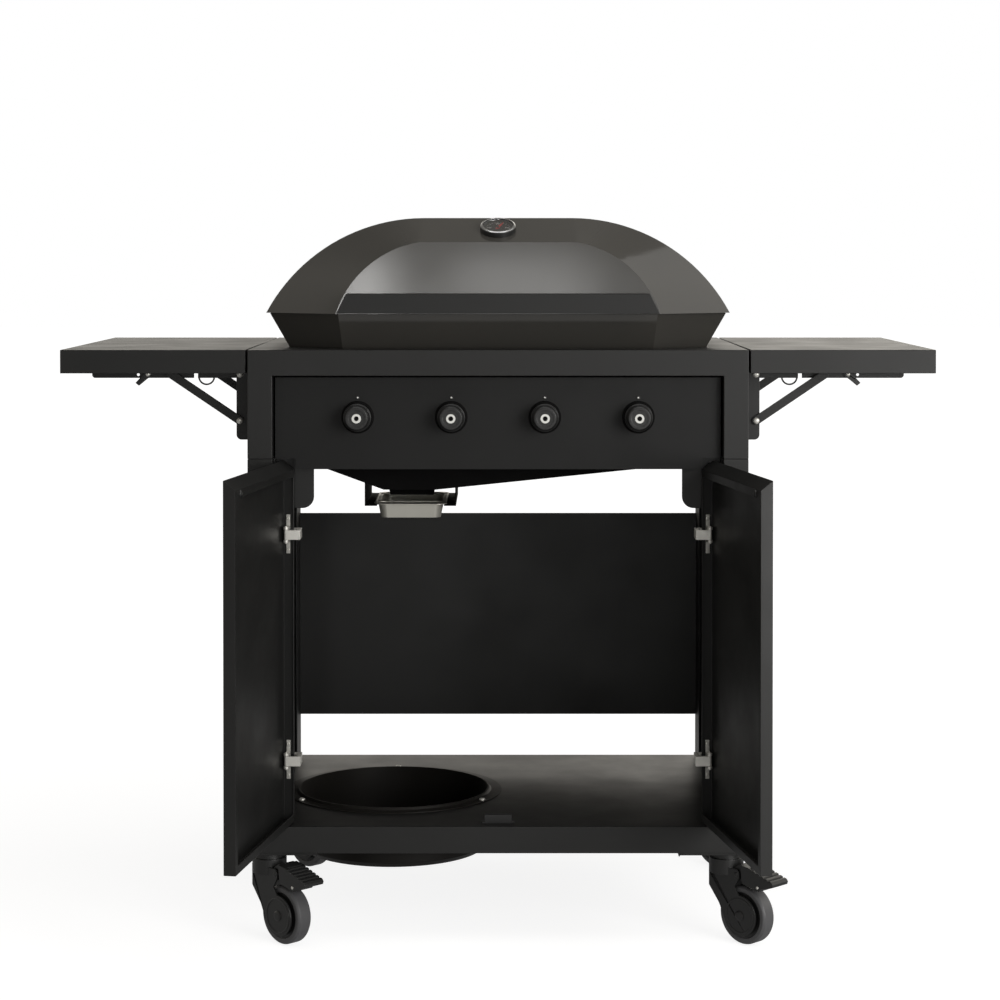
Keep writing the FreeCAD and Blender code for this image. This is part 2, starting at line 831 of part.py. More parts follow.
def build_firebox():
    """Tapered firebox on its rails, the sloping hopper and the drip tray that slides under it."""
    floor_z = d.bowl_floor_z
    mouth_z, inner_floor = d.lip_z + 1, floor_z + d.sheet
    shell = loft(
        "bowl_shell", "XY",
        [(d.lip_z, octagon(d.lip_z)), (floor_z, octagon(floor_z))],
        [(mouth_z, octagon(mouth_z, d.bowl_wall)), (inner_floor, octagon(inner_floor, d.bowl_wall))],
    )
    drain = box("bowl_drain", (-120, 120), (MIDDLE - 45, MIDDLE + 45), (floor_z - OVER, floor_z + OVER))
    ports = [
        rod(f"bowl_port_{index}", "y", (x, FRONT + 60, d.knob_z), d.burner_neck + 1, MIDDLE - FRONT - 60)
        for index, x in enumerate(KNOB_X)
    ]
    node("firebox", cut("bowl_whole", shell, drain, *ports))

    reach = HALF - d.sheet
    rail_front = LID_FRONT + bowl_inset(floor_z) + d.sheet
    web_low = floor_z - d.rail_web
    flange_y = (rail_front, rail_front + d.rail_flange)
    flange = box("rail_flange_bar", (-reach, reach), flange_y, (floor_z - d.sheet, floor_z))
    web = box("rail_web_bar", (-reach, reach), (rail_front, rail_front + d.sheet), (web_low, floor_z))
    rail = fuse("front_rail", flange, web)
    node("firebox_rails", group("rail_pair", rail, other_end("back_rail", rail)))

    low, wall = d.hopper_low_z, d.thin_sheet
    top = web_low
    knee = low + d.hopper_rise
    half_depth = MIDDLE - rail_front
    outer = pad("hopper_block", "XZ", MIDDLE - half_depth, MIDDLE + half_depth, [
        (-d.hopper_half, knee),
        (-d.hopper_half, top),
        (d.hopper_half, top),
        (d.hopper_half, knee),
        (d.hopper_right, low),
        (d.hopper_left, low),
    ])
    inner = pad("hopper_hollow", "XZ", MIDDLE - half_depth + wall, MIDDLE + half_depth - wall, [
        (wall - d.hopper_half, knee + wall),
        (wall - d.hopper_half, top + OVER),
        (d.hopper_half - wall, top + OVER),
        (d.hopper_half - wall, knee + wall),
        (d.hopper_right, low + wall),
        (d.hopper_left, low + wall),
    ])
    tray_x = (d.hopper_left + d.hopper_right) / 2
    spout = rod("hopper_spout", "z", (tray_x, MIDDLE, low - OVER), d.spout_radius, 2 * OVER)
    trough = cut("hopper_trough", outer, inner, spout)
    half_length = d.tray_length / 2
    hanger_y = (MIDDLE - half_length, MIDDLE + half_length)
    ledge_z = d.tray_rim_z - wall - d.air_gap
    foot = d.hanger_half - d.tray_half + d.tray_grip
    left_x, right_x = tray_x - d.hanger_half, tray_x + d.hanger_half
    left_top = low + (d.hopper_left - left_x) * d.hopper_rise / (d.hopper_half + d.hopper_left) + wall / 2
    right_top = low + (right_x - d.hopper_right) * d.hopper_rise / (d.hopper_half - d.hopper_right) + wall / 2
    hang = pad("tray_hanger", "XZ", *hanger_y, [
        (left_x, ledge_z - wall),
        (left_x, left_top),
        (left_x + wall, left_top),
        (left_x + wall, ledge_z),
        (left_x + foot, ledge_z),
        (left_x + foot, ledge_z - wall),
    ])
    right_hang = pad("tray_hanger_right", "XZ", *hanger_y, [
        (right_x, ledge_z - wall),
        (right_x - foot, ledge_z - wall),
        (right_x - foot, ledge_z),
        (right_x - wall, ledge_z),
        (right_x - wall, right_top),
        (right_x, right_top),
    ])
    node("grease_hopper", fuse("hopper_whole", trough, hang, right_hang))

    rim_low, rim_high = d.tray_rim_z - wall, d.tray_rim_z
    pan_low = d.tray_rim_z - d.tray_depth
    rim_corner = d.tray_corner + d.tray_flange / 2
    rim = pad("tray_rim", "XY", rim_low, rim_high, rounded(tray_x, d.tray_half, half_length, rim_corner))
    flare = d.tray_taper * wall / d.tray_depth

    def pan_plan(shrink):
        """Plan of the tray's pan, shrunk all round from its outer mouth."""
        half_x, half_y = d.tray_half - d.tray_flange - shrink, half_length - d.tray_flange - shrink
        return rounded(tray_x, half_x, half_y, d.tray_corner - shrink / 2)

    pan = loft("tray_pan", "XY", [(rim_high, pan_plan(0)), (pan_low, pan_plan(d.tray_taper))])
    hollow = loft("tray_hollow", "XY", [
        (rim_high + wall, pan_plan(wall - flare)),
        (pan_low + wall, pan_plan(wall + d.tray_taper - flare)),
    ])
    node("drip_tray", cut("tray_whole", fuse("tray_block", rim, pan), hollow))


def rounded(x, half_x, half_y, corner):
    """Rectangle with round corners about a place on the hopper's middle line."""
    left, right = x - half_x, x + half_x
    front, back = MIDDLE - half_y, MIDDLE + half_y
    return [
        (left, front + corner),
        (left, back - corner, corner),
        (left + corner, back),
        (right - corner, back, corner),
        (right, back - corner),
        (right, front + corner, corner),
        (right - corner, front),
        (left + corner, front, corner),
    ]


# Lid

def arch(half, flat, rise, radius, foot=0):
    """Arched section of the lid: a flat crown with a round shoulder down to each side."""
    return [
        (-half, LID_Z - foot, radius),
        (-flat, LID_Z + rise),
        (flat, LID_Z + rise, radius),
        (half, LID_Z - foot),
    ]


def build_lid():
    """Bevelled barrel lid, its handle, hinge posts and thermometer."""
    wall = d.sheet
    small = (d.lip_front_half, d.facet_half, d.facet_rise, d.facet_radius)
    large = (d.lip_half, d.crown_half, d.crown_rise, d.crown_radius)
    small_inside = (small[0] - wall, small[1], small[2] - wall, small[3] - wall, OVER)
    large_inside = (large[0] - wall, large[1], large[2] - wall, large[3] - wall, OVER)
    near, far = LID_FRONT + d.bevel_depth, LID_BACK - d.bevel_depth
    shell = loft(
        "lid_skin", "XZ",
        [(LID_FRONT, arch(*small)), (near, arch(*large)), (far, arch(*large)), (LID_BACK, arch(*small))],
        [(LID_FRONT + wall, arch(*small_inside)), (near, arch(*large_inside)), (far, arch(*large_inside)),
         (LID_BACK - wall, arch(*small_inside))],
    )
    pin = d.lid_pin_radius
    eye = d.lid_eye_radius
    ear_x = d.lid_post_x + d.lid_post_width / 2 + 1
    ear_width = 7
    ear_plate = pad("lid_ear_plate", "YZ", ear_x, ear_x + ear_width, [
        (LID_BACK - wall / 2, LID_AXIS_Z + 34),
        (LID_AXIS_Y, LID_AXIS_Z + eye, eye),
        (LID_AXIS_Y, LID_AXIS_Z - eye),
        (LID_BACK - wall / 2, LID_Z),
    ])
    bore_at = (ear_x - OVER, LID_AXIS_Y, LID_AXIS_Z)
    ear_bore = rod("lid_ear_bore", "x", bore_at, pin + d.running_fit, ear_width + 2 * OVER)
    ear = cut("lid_ear", ear_plate, ear_bore)
    bevel = slope_angle(d.crown_rise - d.facet_rise, d.bevel_depth)
    dial_at = (0, LID_FRONT + d.bevel_depth / 2, LID_Z + (d.facet_rise + d.crown_rise) / 2)
    stem_hole = put(turn(rod_up("dial_hole", 6, -OVER, OVER), (1, 0, 0), bevel), *dial_at)
    whole = cut("lid_drilled", shell, stem_hole)
    node("lid_shell", fuse("lid_whole", whole, ear, other_side("lid_ear_left", ear)))

    handle_z = LID_Z + d.handle_rise
    lip_y = LID_FRONT - d.handle_reach
    plate = pad("handle_plate", "XZ", lip_y, lip_y + wall, [
        (-d.handle_bottom_half, handle_z - d.handle_drop),
        (-d.handle_top_half, handle_z),
        (d.handle_top_half, handle_z),
        (d.handle_bottom_half, handle_z - d.handle_drop),
    ])
    shelf_x = (-d.handle_top_half, d.handle_top_half)
    shelf = box("handle_shelf", shelf_x, (lip_y, LID_FRONT), (handle_z - wall, handle_z))
    node("lid_handle", fuse("handle_whole", plate, shelf))

    post_low = d.worktop_z
    foot_front = LID_AXIS_Y - eye
    half_post = d.lid_post_width / 2
    post = pad("lid_post", "YZ", d.lid_post_x - half_post, d.lid_post_x + half_post, [
        (foot_front, post_low),
        (LID_AXIS_Y - eye, LID_AXIS_Z, eye),
        (LID_AXIS_Y + eye, LID_AXIS_Z),
        (foot_front + 2 * eye, post_low),
    ])
    foot_x = (d.lid_post_x - d.lid_post_foot, d.lid_post_x + d.lid_post_foot)
    base = box("lid_foot_plate", foot_x, (foot_front, foot_front + 2 * eye), (post_low, post_low + 3))
    pivot_x = d.lid_post_x - half_post - OVER
    pivot_length = ear_x + ear_width + 4 - pivot_x
    pivot = rod("lid_pivot", "x", (pivot_x, LID_AXIS_Y, LID_AXIS_Z), pin, pivot_length)
    hinge = fuse("lid_hinge_post", post, base, pivot)
    node("lid_hinge_posts", group("post_pair", hinge, other_side("left_post", hinge)))

    radius, height = d.dial_radius, d.dial_height
    case = revolve("dial_case", [
        (0, -14),
        (4, -14),
        (4, 0),
        (radius, 0),
        (radius, height - 2),
        (radius - 2, height),
        (radius - 4, height - 1),
        (radius - 4, height - 2.5),
        (radius - 5, height - 2.5),
        (radius - 5, 3),
        (1, 3),
        (1, 5),
        (0, 5),
    ])
    lens = revolve("dial_glass", [
        (0, height - 2.5),
        (radius - 4.1, height - 2.5),
        (radius - 4.1, height - 1.5),
        (0, height - 1.3),
    ])
    needle_low, needle_high = 3.6, 4.4
    hub = rod_up("needle_hub", 3, needle_low, needle_high)
    bore = rod_up("needle_bore", 1 + d.running_fit, needle_low - OVER, needle_high + OVER)
    point = radius - 8
    hand = pad("needle_hand", "XY", needle_low, needle_high, [
        (-2, -2),
        (-1, -6),
        (1, -6),
        (2, -2),
        (0.4, point),
        (-0.4, point),
    ])
    needle = cut("needle_whole", fuse("needle_blank", hub, hand), bore)
    needle = group("needle_pointing", turn(needle, (0, 0, -1), d.needle_rest))
    for label, piece in (("case", case), ("glass", lens), ("needle", needle)):
        node(f"thermometer_{label}", put(turn(piece, (1, 0, 0), bevel), *dial_at))


def rod_up(name, radius, low, high):
    """Round bar about its own Z axis between two heights, left at the origin."""
    return revolve(name, [(0, low), (radius, low), (radius, high), (0, high)])


# Doors

def build_doors():
    """Folded door pans, their hinge leaves and the arms on the cabinet."""
    low = d.shelf_z + d.door_bottom_gap
    top = d.door_top_z
    wall = d.thin_sheet
    half = d.door_thick / 2
    near = -d.hinge_inset
    far = DOOR_AXIS_X - d.door_meeting_gap / 2
    fall = d.door_bevel / d.door_thick
    skin = wall * 1.3
    block = pad("door_block", "YZ", near, far, [
        (-half, low),
        (half, low),
        (half, top - d.door_bevel),
        (-half, top),
    ])
    hollow = pad("door_hollow", "YZ", near + wall, far - wall, [
        (wall - half, low + wall),
        (half - wall, low + wall),
        (half - wall, top - d.door_bevel + wall * fall - skin),
        (wall - half, top - wall * fall - skin),
    ])
    window = box(
        "door_window",
        (near + d.door_hinge_lip, far - d.door_lip),
        (0, half + OVER),
        (low + d.door_lip, top - d.door_bevel - d.door_lip),
    )
    pan = cut("door_pan", block, hollow, window)
    strike = box(
        "door_strike",
        (far - d.door_lip - 14, far - d.door_lip + 4),
        (half - wall, half),
        (top - d.door_bevel - d.door_lip - 16, top - d.door_bevel - d.door_lip + 4),
    )
    door = hang_door(fuse("door_whole", pan, strike))
    node("left_door", door)
    node("right_door", other_side("right_door_whole", door))

    pin = d.hinge_pin
    half_arm = d.hinge_height / 2
    ear = 4
    leaves, arms = [], []
    for place, z in (("top", d.hinge_top_z), ("bottom", d.hinge_bottom_z)):
        plate = box(
            f"leaf_plate_{place}",
            (near + wall, near + wall + 2),
            (-3, 3),
            (z - d.hinge_leaf_height / 2, z + d.hinge_leaf_height / 2),
        )
        ears = []
        for side, base in (("low", z - half_arm - d.air_gap - ear), ("high", z + half_arm + d.air_gap)):
            ears.append(pad(f"leaf_ear_{place}_{side}", "XY", base, base + ear, [
                (near + wall, 3),
                (0, 4, 4),
                (0, -4),
                (near + wall, -3),
            ], [(0, 0, pin + d.running_fit)]))
        leaves.append(fuse(f"leaf_{place}", plate, *ears))

        reach, thick = d.hinge_reach, 6
        wing_y = d.leg_width - half + 4
        wing_x = -(INNER - DOOR_AXIS_X)
        arm = pad(f"arm_bar_{place}", "XY", z - half_arm, z + half_arm, [
            (0, -3, 3),
            (0, 3),
            (reach - thick, 3),
            (reach - thick, wing_y - 8),
            (wing_x + 1, wing_y - 8),
            (wing_x + 1, wing_y),
            (reach, wing_y),
            (reach, -3),
        ])
        wing = box(f"arm_wing_{place}", (wing_x, wing_x + 2), (wing_y - 8, wing_y + 24), (z - 20, z + 20))
        pivot = rod(f"arm_pin_{place}", "z", (0, 0, z - half_arm - ear - 2), pin, 2 * (half_arm + ear + 2))
        arms.append(put(fuse(f"arm_{place}", arm, wing, pivot), -DOOR_AXIS_X, DOOR_AXIS_Y, 0))
    left = hang_door(group("left_leaves", *leaves))
    node("left_hinge_leaves", left)
    node("right_hinge_leaves", other_side("right_leaves", left))
    pair = group("left_arms", *arms)
    node("hinge_arms", group("arm_set", pair, other_side("right_arms", pair)))


def hang_door(piece):
    """Swing a left-hand door piece open about its hinge axis."""
    return put(turn(piece, (0, 0, -1), d.door_open), -DOOR_AXIS_X, DOOR_AXIS_Y, 0)


# Side tables and their folding brackets

def build_tables():
    """Right-hand table with its folding brackets, and the mirror image on the left."""
    inner = HALF + d.table_gap
    outer = inner + d.table_width
    top, low = d.worktop_z, d.worktop_z - d.table_height
    wall, lip = d.thin_sheet, d.table_lip
    block = box("table_block", (inner, outer), (FRONT, BACK), (low, top))
    hollow = box(
        "table_hollow",
        (inner + wall, outer - wall),
        (FRONT + wall, BACK - wall),
        (low + wall, top - wall),
    )
    mouth_y = (FRONT + lip, BACK - lip)
    mouth = box("table_mouth", (inner + lip, outer - lip), mouth_y, (low - OVER, low + OVER))
    axis_x, axis_z = TABLE_AXIS_X, d.bracket_axis_z
    plate, pin = d.bracket_plate, d.bracket_pin
    web_y = BRACKET_Y
    arm_y = web_y + plate + 1
    arm_top = low
    arm_low = axis_z - d.arm_below
    arm_end = axis_x + d.arm_length
    rib_y = (arm_y, arm_y + d.rib_width)
    rib = cut(
        "table_rib",
        box("table_rib_block", (inner + wall / 2, outer - wall / 2), rib_y, (low, top - wall / 2)),
        box("table_rib_hollow", (inner, outer), (rib_y[0] + wall, rib_y[1] - wall), (low + wall, top)),
    )
    room_x = (inner - OVER, inner + lip + OVER)
    room_y = (web_y - d.bracket_foot, arm_y)
    lip_cut = box("table_hinge_room", room_x, room_y, (low - OVER, top - d.table_lip))
    pan = cut("table_pan", block, hollow, mouth, lip_cut, other_end("table_hinge_room_back", lip_cut))
    table = fuse("table_whole", pan, rib, other_end("table_rib_back", rib))
    node("right_table", table)
    node("left_table", other_side("left_table_whole", table))

    heel, corner = d.arm_heel, d.arm_corner
    notch_top = axis_z + d.notch_rise
    bar = pad("arm_web", "XZ", arm_y, arm_y + wall, [
        (axis_x - heel, arm_low),
        (axis_x - heel, arm_top),
        (arm_end, arm_top),
        (arm_end, arm_low + corner, corner),
        (arm_end - corner, arm_low),
        (axis_x + d.notch_far, arm_low),
        (axis_x + d.notch_far, notch_top),
        (axis_x + d.notch_near, notch_top),
        (axis_x + d.notch_near, arm_low),
    ], [(axis_x, axis_z, pin + d.running_fit)])
    flange_y = (arm_y, arm_y + d.rib_width - heel)
    flange = box("arm_flange", (axis_x + heel + d.sheet, arm_end), flange_y, (arm_top - wall, arm_top))
    hook_x, hook_z = axis_x + d.hook_reach, axis_z - d.hook_sink
    hook_y = (arm_y - OVER, arm_y + wall + OVER)
    ring = d.hook_radius
    hook = cut(
        "arm_hook",
        rod("hook_disc", "y", (hook_x, arm_y, hook_z), ring, wall),
        rod("hook_eye", "y", (hook_x, hook_y[0], hook_z), ring - d.hook_strip, hook_y[1] - hook_y[0]),
        box("hook_upper", (hook_x - 2 * ring, hook_x + 2 * ring), hook_y, (hook_z, hook_z + 2 * ring)),
    )
    lever_x = axis_x + d.lever_reach
    lever_y = arm_y - 2 * d.air_gap - d.lever_plate
    lever_pin = rod("arm_lever_pin", "y", (lever_x, lever_y - 1, axis_z), d.lever_pin, arm_y - lever_y + 2)
    arm = fuse("arm_whole", bar, flange, hook, lever_pin)
    node("right_table_arms", group("right_arm_pair", arm, other_end("arm_back", arm)))
    left_arms = group("left_arm_source", arm, other_end("arm_back_source", arm))
    node("left_table_arms", other_side("left_arm_pair", left_arms))

    foot_x = (HALF, HALF + 2.5)
    bottom = d.bracket_bottom_z
    lug = d.bracket_lug
    edge_x = axis_x + d.bracket_edge
    web = pad("bracket_web", "XZ", web_y, web_y + plate, [
        (HALF + 1, bottom),
        (HALF + 1, axis_z + lug),
        (edge_x - lug, axis_z + lug, lug),
        (edge_x, axis_z),
        (edge_x, bottom + lug, lug),
        (edge_x - lug, bottom),
    ])
    foot = box("bracket_foot_plate", foot_x, (web_y - d.bracket_foot, web_y + plate), (bottom, axis_z + lug))
    pivot = rod("bracket_pivot", "y", (axis_x, web_y - 2, axis_z), pin, plate + 2 + 1 + wall + 2)
    low_z = axis_z - d.strut_drop
    low_pivot = rod("bracket_strut_pin", "y", (axis_x, web_y - plate - 3, low_z), pin, plate + 3 + OVER / 2)
    bracket = fuse("bracket_whole", web, foot, pivot, low_pivot)
    pair = group("right_brackets", bracket, other_end("bracket_back", bracket))
    node("table_brackets", group("bracket_set", pair, other_side("left_brackets", pair)))

    length = root_of_squares(d.strut_reach, d.strut_drop)
    half = d.strut_width / 2
    tilt = slope_angle(d.strut_drop, d.strut_reach)
    strut_y = (-plate - 1, -1)
    blade = pad("strut_blade", "XZ", strut_y[0], strut_y[1], [
        (0, -half, half),
        (0, half),
        (length, half, half),
        (length, -half),
    ], [(0, 0, pin + d.running_fit)])
    slider = rod("strut_slider", "y", (length, strut_y[1] - 1, 0), 2.5, 2.5)
    strut = put(turn(fuse("strut_whole", blade, slider), (0, -1, 0), tilt), axis_x, web_y, low_z)
    node("right_struts", group("right_strut_pair", strut, other_end("strut_back", strut)))
    left_struts = group("left_strut_source", strut, other_end("strut_back_source", strut))
    node("left_struts", other_side("left_strut_pair", left_struts))

    paddle = pad("lever_paddle", "XZ", lever_y, lever_y + d.lever_plate, [
        (lever_x - 6, axis_z - 3),
        (lever_x - 6, axis_z + 3),
        (lever_x + 4, axis_z + 3),
        (lever_x + 18, axis_z - 8.5),
        (lever_x + 15.5, axis_z - 10.5),
        (lever_x + 3, axis_z - 4),
    ], [(lever_x, axis_z, d.lever_pin + d.running_fit)])
    node("right_release_levers", group("right_lever_pair", paddle, other_end("lever_back", paddle)))
    left_levers = group("left_lever_source", paddle, other_end("lever_back_source", paddle))
    node("left_release_levers", other_side("left_lever_pair", left_levers))


# Casters

def build_casters():
    """Four swivel casters on round pads, with foot brakes on the front pair."""
    base_z = d.shelf_z - d.base_height
    plate_low = base_z - d.caster_plate
    king, pedal_pin = 6, 3
    trail, axle_z = d.caster_trail, d.wheel_radius
    inside = d.wheel_width / 2 + d.fork_gap
    outside = inside + d.fork_wall
    crown_low = d.wheel_radius * 2 + d.crown_gap
    neck_top = plate_low - d.air_gap
    ring_low = neck_top - d.swivel_ring_height
    places = {
        "front_left": (-HALF + d.caster_inset_x, FRONT + d.caster_inset_y),
        "front_right": (HALF - d.caster_inset_x, FRONT + d.caster_inset_y),
        "rear_left": (-HALF + d.caster_inset_x, BACK - d.caster_inset_y),
        "rear_right": (HALF - d.caster_inset_x, BACK - d.caster_inset_y),
    }
    plates = []
    for name, (x, y) in places.items():
        plate = rod(f"plate_{name}", "z", (x, y, plate_low), d.swivel_pad_radius, d.caster_plate)
        pin_low = crown_low + 6
        pin = rod(f"king_pin_{name}", "z", (x, y, pin_low), king, plate_low - pin_low + d.caster_plate / 2)
        plates.append(fuse(f"caster_plate_{name}", plate, pin))

        braked = name.startswith("front")
        pedal_x, pedal_z = d.pedal_pivot, crown_low + 4
        strap = pad(f"cheek_{name}", "XZ", inside, outside, [
            (-d.cheek_back, axle_z + 38),
            (-d.cheek_back, crown_low + 12),
            (pedal_x, crown_low + 12),
            (d.cheek_ear, crown_low + 8),
            (d.cheek_ear, crown_low - 1),
            (trail - 10, axle_z + 43),
            (trail, axle_z + 28),
            (trail, axle_z),
            (trail - 25.4, axle_z - 17.8),
            (0, axle_z + 13.5),
        ])
        boss = rod(f"cheek_boss_{name}", "y", (trail, inside, axle_z), d.boss_radius, d.fork_wall)
        cheek = fuse(f"cheek_whole_{name}", strap, boss)
        crown = rod(f"crown_{name}", "z", (0, 0, crown_low), d.neck_radius, ring_low - crown_low)
        ring_at = (0, 0, ring_low - OVER)
        ring = rod(f"ring_{name}", "z", ring_at, d.swivel_ring_radius, neck_top - ring_low + OVER)
        bore = rod(f"neck_bore_{name}", "z", (0, 0, crown_low - OVER), king + d.running_fit, 60)
        axle = rod(f"axle_{name}", "y", (trail, -outside - 2, axle_z), d.axle_radius, 2 * outside + 4)
        pieces = [cheek, mirror(f"cheek_far_{name}", cheek, (0, 1, 0)), crown, ring, axle]
        if braked:
            pin_at = (pedal_x, -outside, pedal_z)
            pieces.append(rod(f"pedal_pin_{name}", "y", pin_at, pedal_pin, 2 * outside))
        fork = cut(f"fork_{name}", fuse(f"fork_whole_{name}", *pieces), bore)
        node(f"{name}_caster_fork", stand(fork, x, y))

        half_width = d.wheel_width / 2
        tread = d.wheel_radius
        wheel = revolve(f"wheel_{name}", [
            (d.axle_radius + d.running_fit, -half_width),
            (12, -half_width),
            (12, 4 - half_width),
            (tread - 10, 4 - half_width),
            (tread - 9, 1 - half_width),
            (tread - 3, 1 - half_width),
            (tread, 4.5 - half_width),
            (tread, half_width - 4.5),
            (tread - 3, half_width - 1),
            (tread - 9, half_width - 1),
            (tread - 10, half_width - 4),
            (12, half_width - 4),
            (12, half_width),
            (d.axle_radius + d.running_fit, half_width),
        ])
        spun = group(f"wheel_spun_{name}", put(turn(wheel, (1, 0, 0), 90), trail, 0, axle_z))
        node(f"{name}_wheel", stand(spun, x, y))

        if braked:
            pedal = build_pedal(name, inside - 1, pedal_x, pedal_z, pedal_pin)
            node(f"{name}_brake_pedal", stand(pedal, x, y))
    node("caster_plates", group("plate_set", *plates))


def build_pedal(name, root_half, pedal_x, pedal_z, pin):
    """Foot brake: a narrow root on the fork's pin and a wide ribbed sole with a turned-down toe."""
    end = d.pedal_reach
    root = pad(f"pedal_root_{name}", "XZ", -root_half, root_half, [
        (pedal_x - 7, pedal_z - 6),
        (pedal_x - 7, pedal_z + 9),
        (pedal_x + 6, pedal_z + 16.6),
        (pedal_x + 26, pedal_z + 13.6),
        (pedal_x + 26, pedal_z - 14),
        (pedal_x + 10, pedal_z - 11),
    ])
    rise, run = 14.4, 45
    sole = pad(f"pedal_sole_{name}", "XZ", -d.pedal_half, d.pedal_half, [
        (pedal_x + 8, pedal_z + 16.3),
        (end - run - 3, pedal_z + 14),
        (end - 3, pedal_z + 14 - rise),
        (end, pedal_z - 4),
        (end - 1.5, pedal_z - 8.5),
        (end - 24, pedal_z - 14.6),
        (end - 27, pedal_z - 19),
        (end - 34, pedal_z - 18),
        (pedal_x + 12, pedal_z - 11.5),
    ])
    across = (-d.pedal_half - OVER, d.pedal_half + OVER)
    grooves = []
    for step in range(5):
        along = 6 + 8 * step
        groove_x = end - run - 3 + along
        groove_z = pedal_z + 12.4 - (along + 1.5) * rise / run
        room_x, room_z = (groove_x, groove_x + 3), (groove_z, groove_z + 20)
        grooves.append(box(f"pedal_groove_{name}_{step}", room_x, across, room_z))
    hole_at = (pedal_x, across[0], pedal_z)
    hole = rod(f"pedal_bore_{name}", "y", hole_at, pin + d.running_fit, across[1] - across[0])
    room = rod(f"pedal_room_{name}", "z", (0, 0, 0), d.neck_radius + 1.5, d.shelf_z)
    return cut(f"pedal_{name}", fuse(f"pedal_blank_{name}", root, sole), hole, room, *grooves)


def stand(piece, x, y):
    """Stand a caster piece under its swivel axis, trailing towards the front right."""
    return put(turn(piece, (0, 0, -1), d.caster_turn), x, y, 0)


# Screws

def build_screws():
    """Pan-head screws that hold the bottle well and the table brackets."""
    screws = []
    head = 5
    for index, angle in enumerate((90, 210, 330)):
        x = d.well_x + d.well_screw_radius * round(math.cos(math.radians(angle)), 9)
        y = FRONT + d.well_setback + d.well_screw_radius * round(math.sin(math.radians(angle)), 9)
        screws.append(rod(f"well_screw_{index}", "z", (x, y, d.shelf_z + d.thin_sheet), head, 3))
    for index, z in enumerate((d.bracket_bottom_z + 18, d.bracket_axis_z - 18)):
        screw = rod(f"bracket_screw_{index}", "x", (HALF + 2.5, BRACKET_Y - 8, z), 4, 2.5)
        pair = group(f"bracket_screw_pair_{index}", screw, other_end(f"bracket_screw_back_{index}", screw))
        left = other_side(f"bracket_screw_left_{index}", pair)
        screws.append(group(f"bracket_screw_set_{index}", pair, left))
    node("screws", group("screw_set", *screws))


build_base()
build_upper_frame()
build_gas_train()
build_firebox()
build_lid()
build_doors()
build_tables()
build_casters()
build_screws()
doc.recompute()

faults = [item.Name for item in doc.Objects if {"Invalid", "Error"} & set(item.State)]
faults += [item.Label for item in NODES if item.Shape.isNull() or not item.Shape.isValid()]
if faults:
    raise RuntimeError(f"pieces that failed: {faults}")
os.makedirs("parts", exist_ok=True)
for item in NODES:
    item.Shape.exportStep(f"parts/{item.Label}.step")
whole = FreeCAD.BoundBox()
for item in NODES:
    whole.add(item.Shape.BoundBox)
print(len(NODES), "nodes", whole)
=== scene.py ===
"""Cart gas grill, dressed: finishes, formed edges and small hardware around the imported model.

Sizes are in millimetres and angles in degrees, where nothing else is said. The pair that gives the
head of a screw or a rivet is its radius and height, and an outline lists radius and height in turn.
"""
import json
import logging
import math
from dataclasses import dataclass
from enum import Enum
from typing import Any, Callable, Iterable, Sequence

import bpy
from mathutils import Euler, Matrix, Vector

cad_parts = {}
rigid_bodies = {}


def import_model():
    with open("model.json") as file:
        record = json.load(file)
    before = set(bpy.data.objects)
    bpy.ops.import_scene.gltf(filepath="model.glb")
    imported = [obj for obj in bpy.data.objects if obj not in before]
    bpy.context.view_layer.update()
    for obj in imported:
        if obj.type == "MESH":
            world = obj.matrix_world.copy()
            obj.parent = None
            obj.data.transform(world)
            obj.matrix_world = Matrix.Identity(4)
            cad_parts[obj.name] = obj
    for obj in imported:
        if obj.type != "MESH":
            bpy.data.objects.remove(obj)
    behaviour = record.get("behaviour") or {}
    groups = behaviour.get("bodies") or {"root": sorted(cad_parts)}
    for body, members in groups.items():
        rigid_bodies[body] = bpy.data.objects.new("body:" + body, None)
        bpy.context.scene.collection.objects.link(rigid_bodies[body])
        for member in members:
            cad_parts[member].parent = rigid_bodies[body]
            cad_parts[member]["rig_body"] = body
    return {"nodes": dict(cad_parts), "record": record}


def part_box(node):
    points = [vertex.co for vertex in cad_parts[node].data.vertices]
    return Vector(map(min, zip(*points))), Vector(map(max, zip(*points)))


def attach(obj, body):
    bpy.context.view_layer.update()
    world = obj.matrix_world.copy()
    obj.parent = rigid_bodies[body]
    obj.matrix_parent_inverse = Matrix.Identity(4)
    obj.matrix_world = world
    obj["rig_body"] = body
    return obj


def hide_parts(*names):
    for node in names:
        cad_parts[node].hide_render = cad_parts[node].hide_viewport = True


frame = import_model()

LOG = logging.getLogger("gas_grill")
MM = 0.001
Pair = tuple[float, float]
Point = tuple[float, float, float]
Place = tuple[Point, Point]
Outline = tuple[Pair, ...]
Piece = bpy.types.Object
Tree = bpy.types.NodeTree
Node = bpy.types.Node
Socket = bpy.types.NodeSocket
FaceTest = Callable[[Vector, Vector], bool]

SIDES = (("left", -1), ("right", 1))
KNOBS = range(1, 5)
# Points closer than this are one, on a modelled piece and on a copied CAD mesh, in millimetres.
WELD = 0.01
CAD_WELD = 0.002
# CAD triangles that turn from each other by less than this many degrees are one flat face.
FLAT_ANGLE = 0.6
# A face looks along an axis, or the same way as a given normal, past these cosines.
FACING = 0.5
SAME_WAY = 0.98
# The cart's front and back edges and the plane halfway between them, in millimetres.
FRONT_Y, BACK_Y = (corner[1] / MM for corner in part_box("base_tray"))
MIDDLE_Y = (FRONT_Y + BACK_Y) / 2


def middle_of(node: str) -> Vector:
    """Return the middle of a CAD node's box, in millimetres."""
    low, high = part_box(node)
    return (Vector(low) + Vector(high)) / (2 * MM)


# Working in edit mode

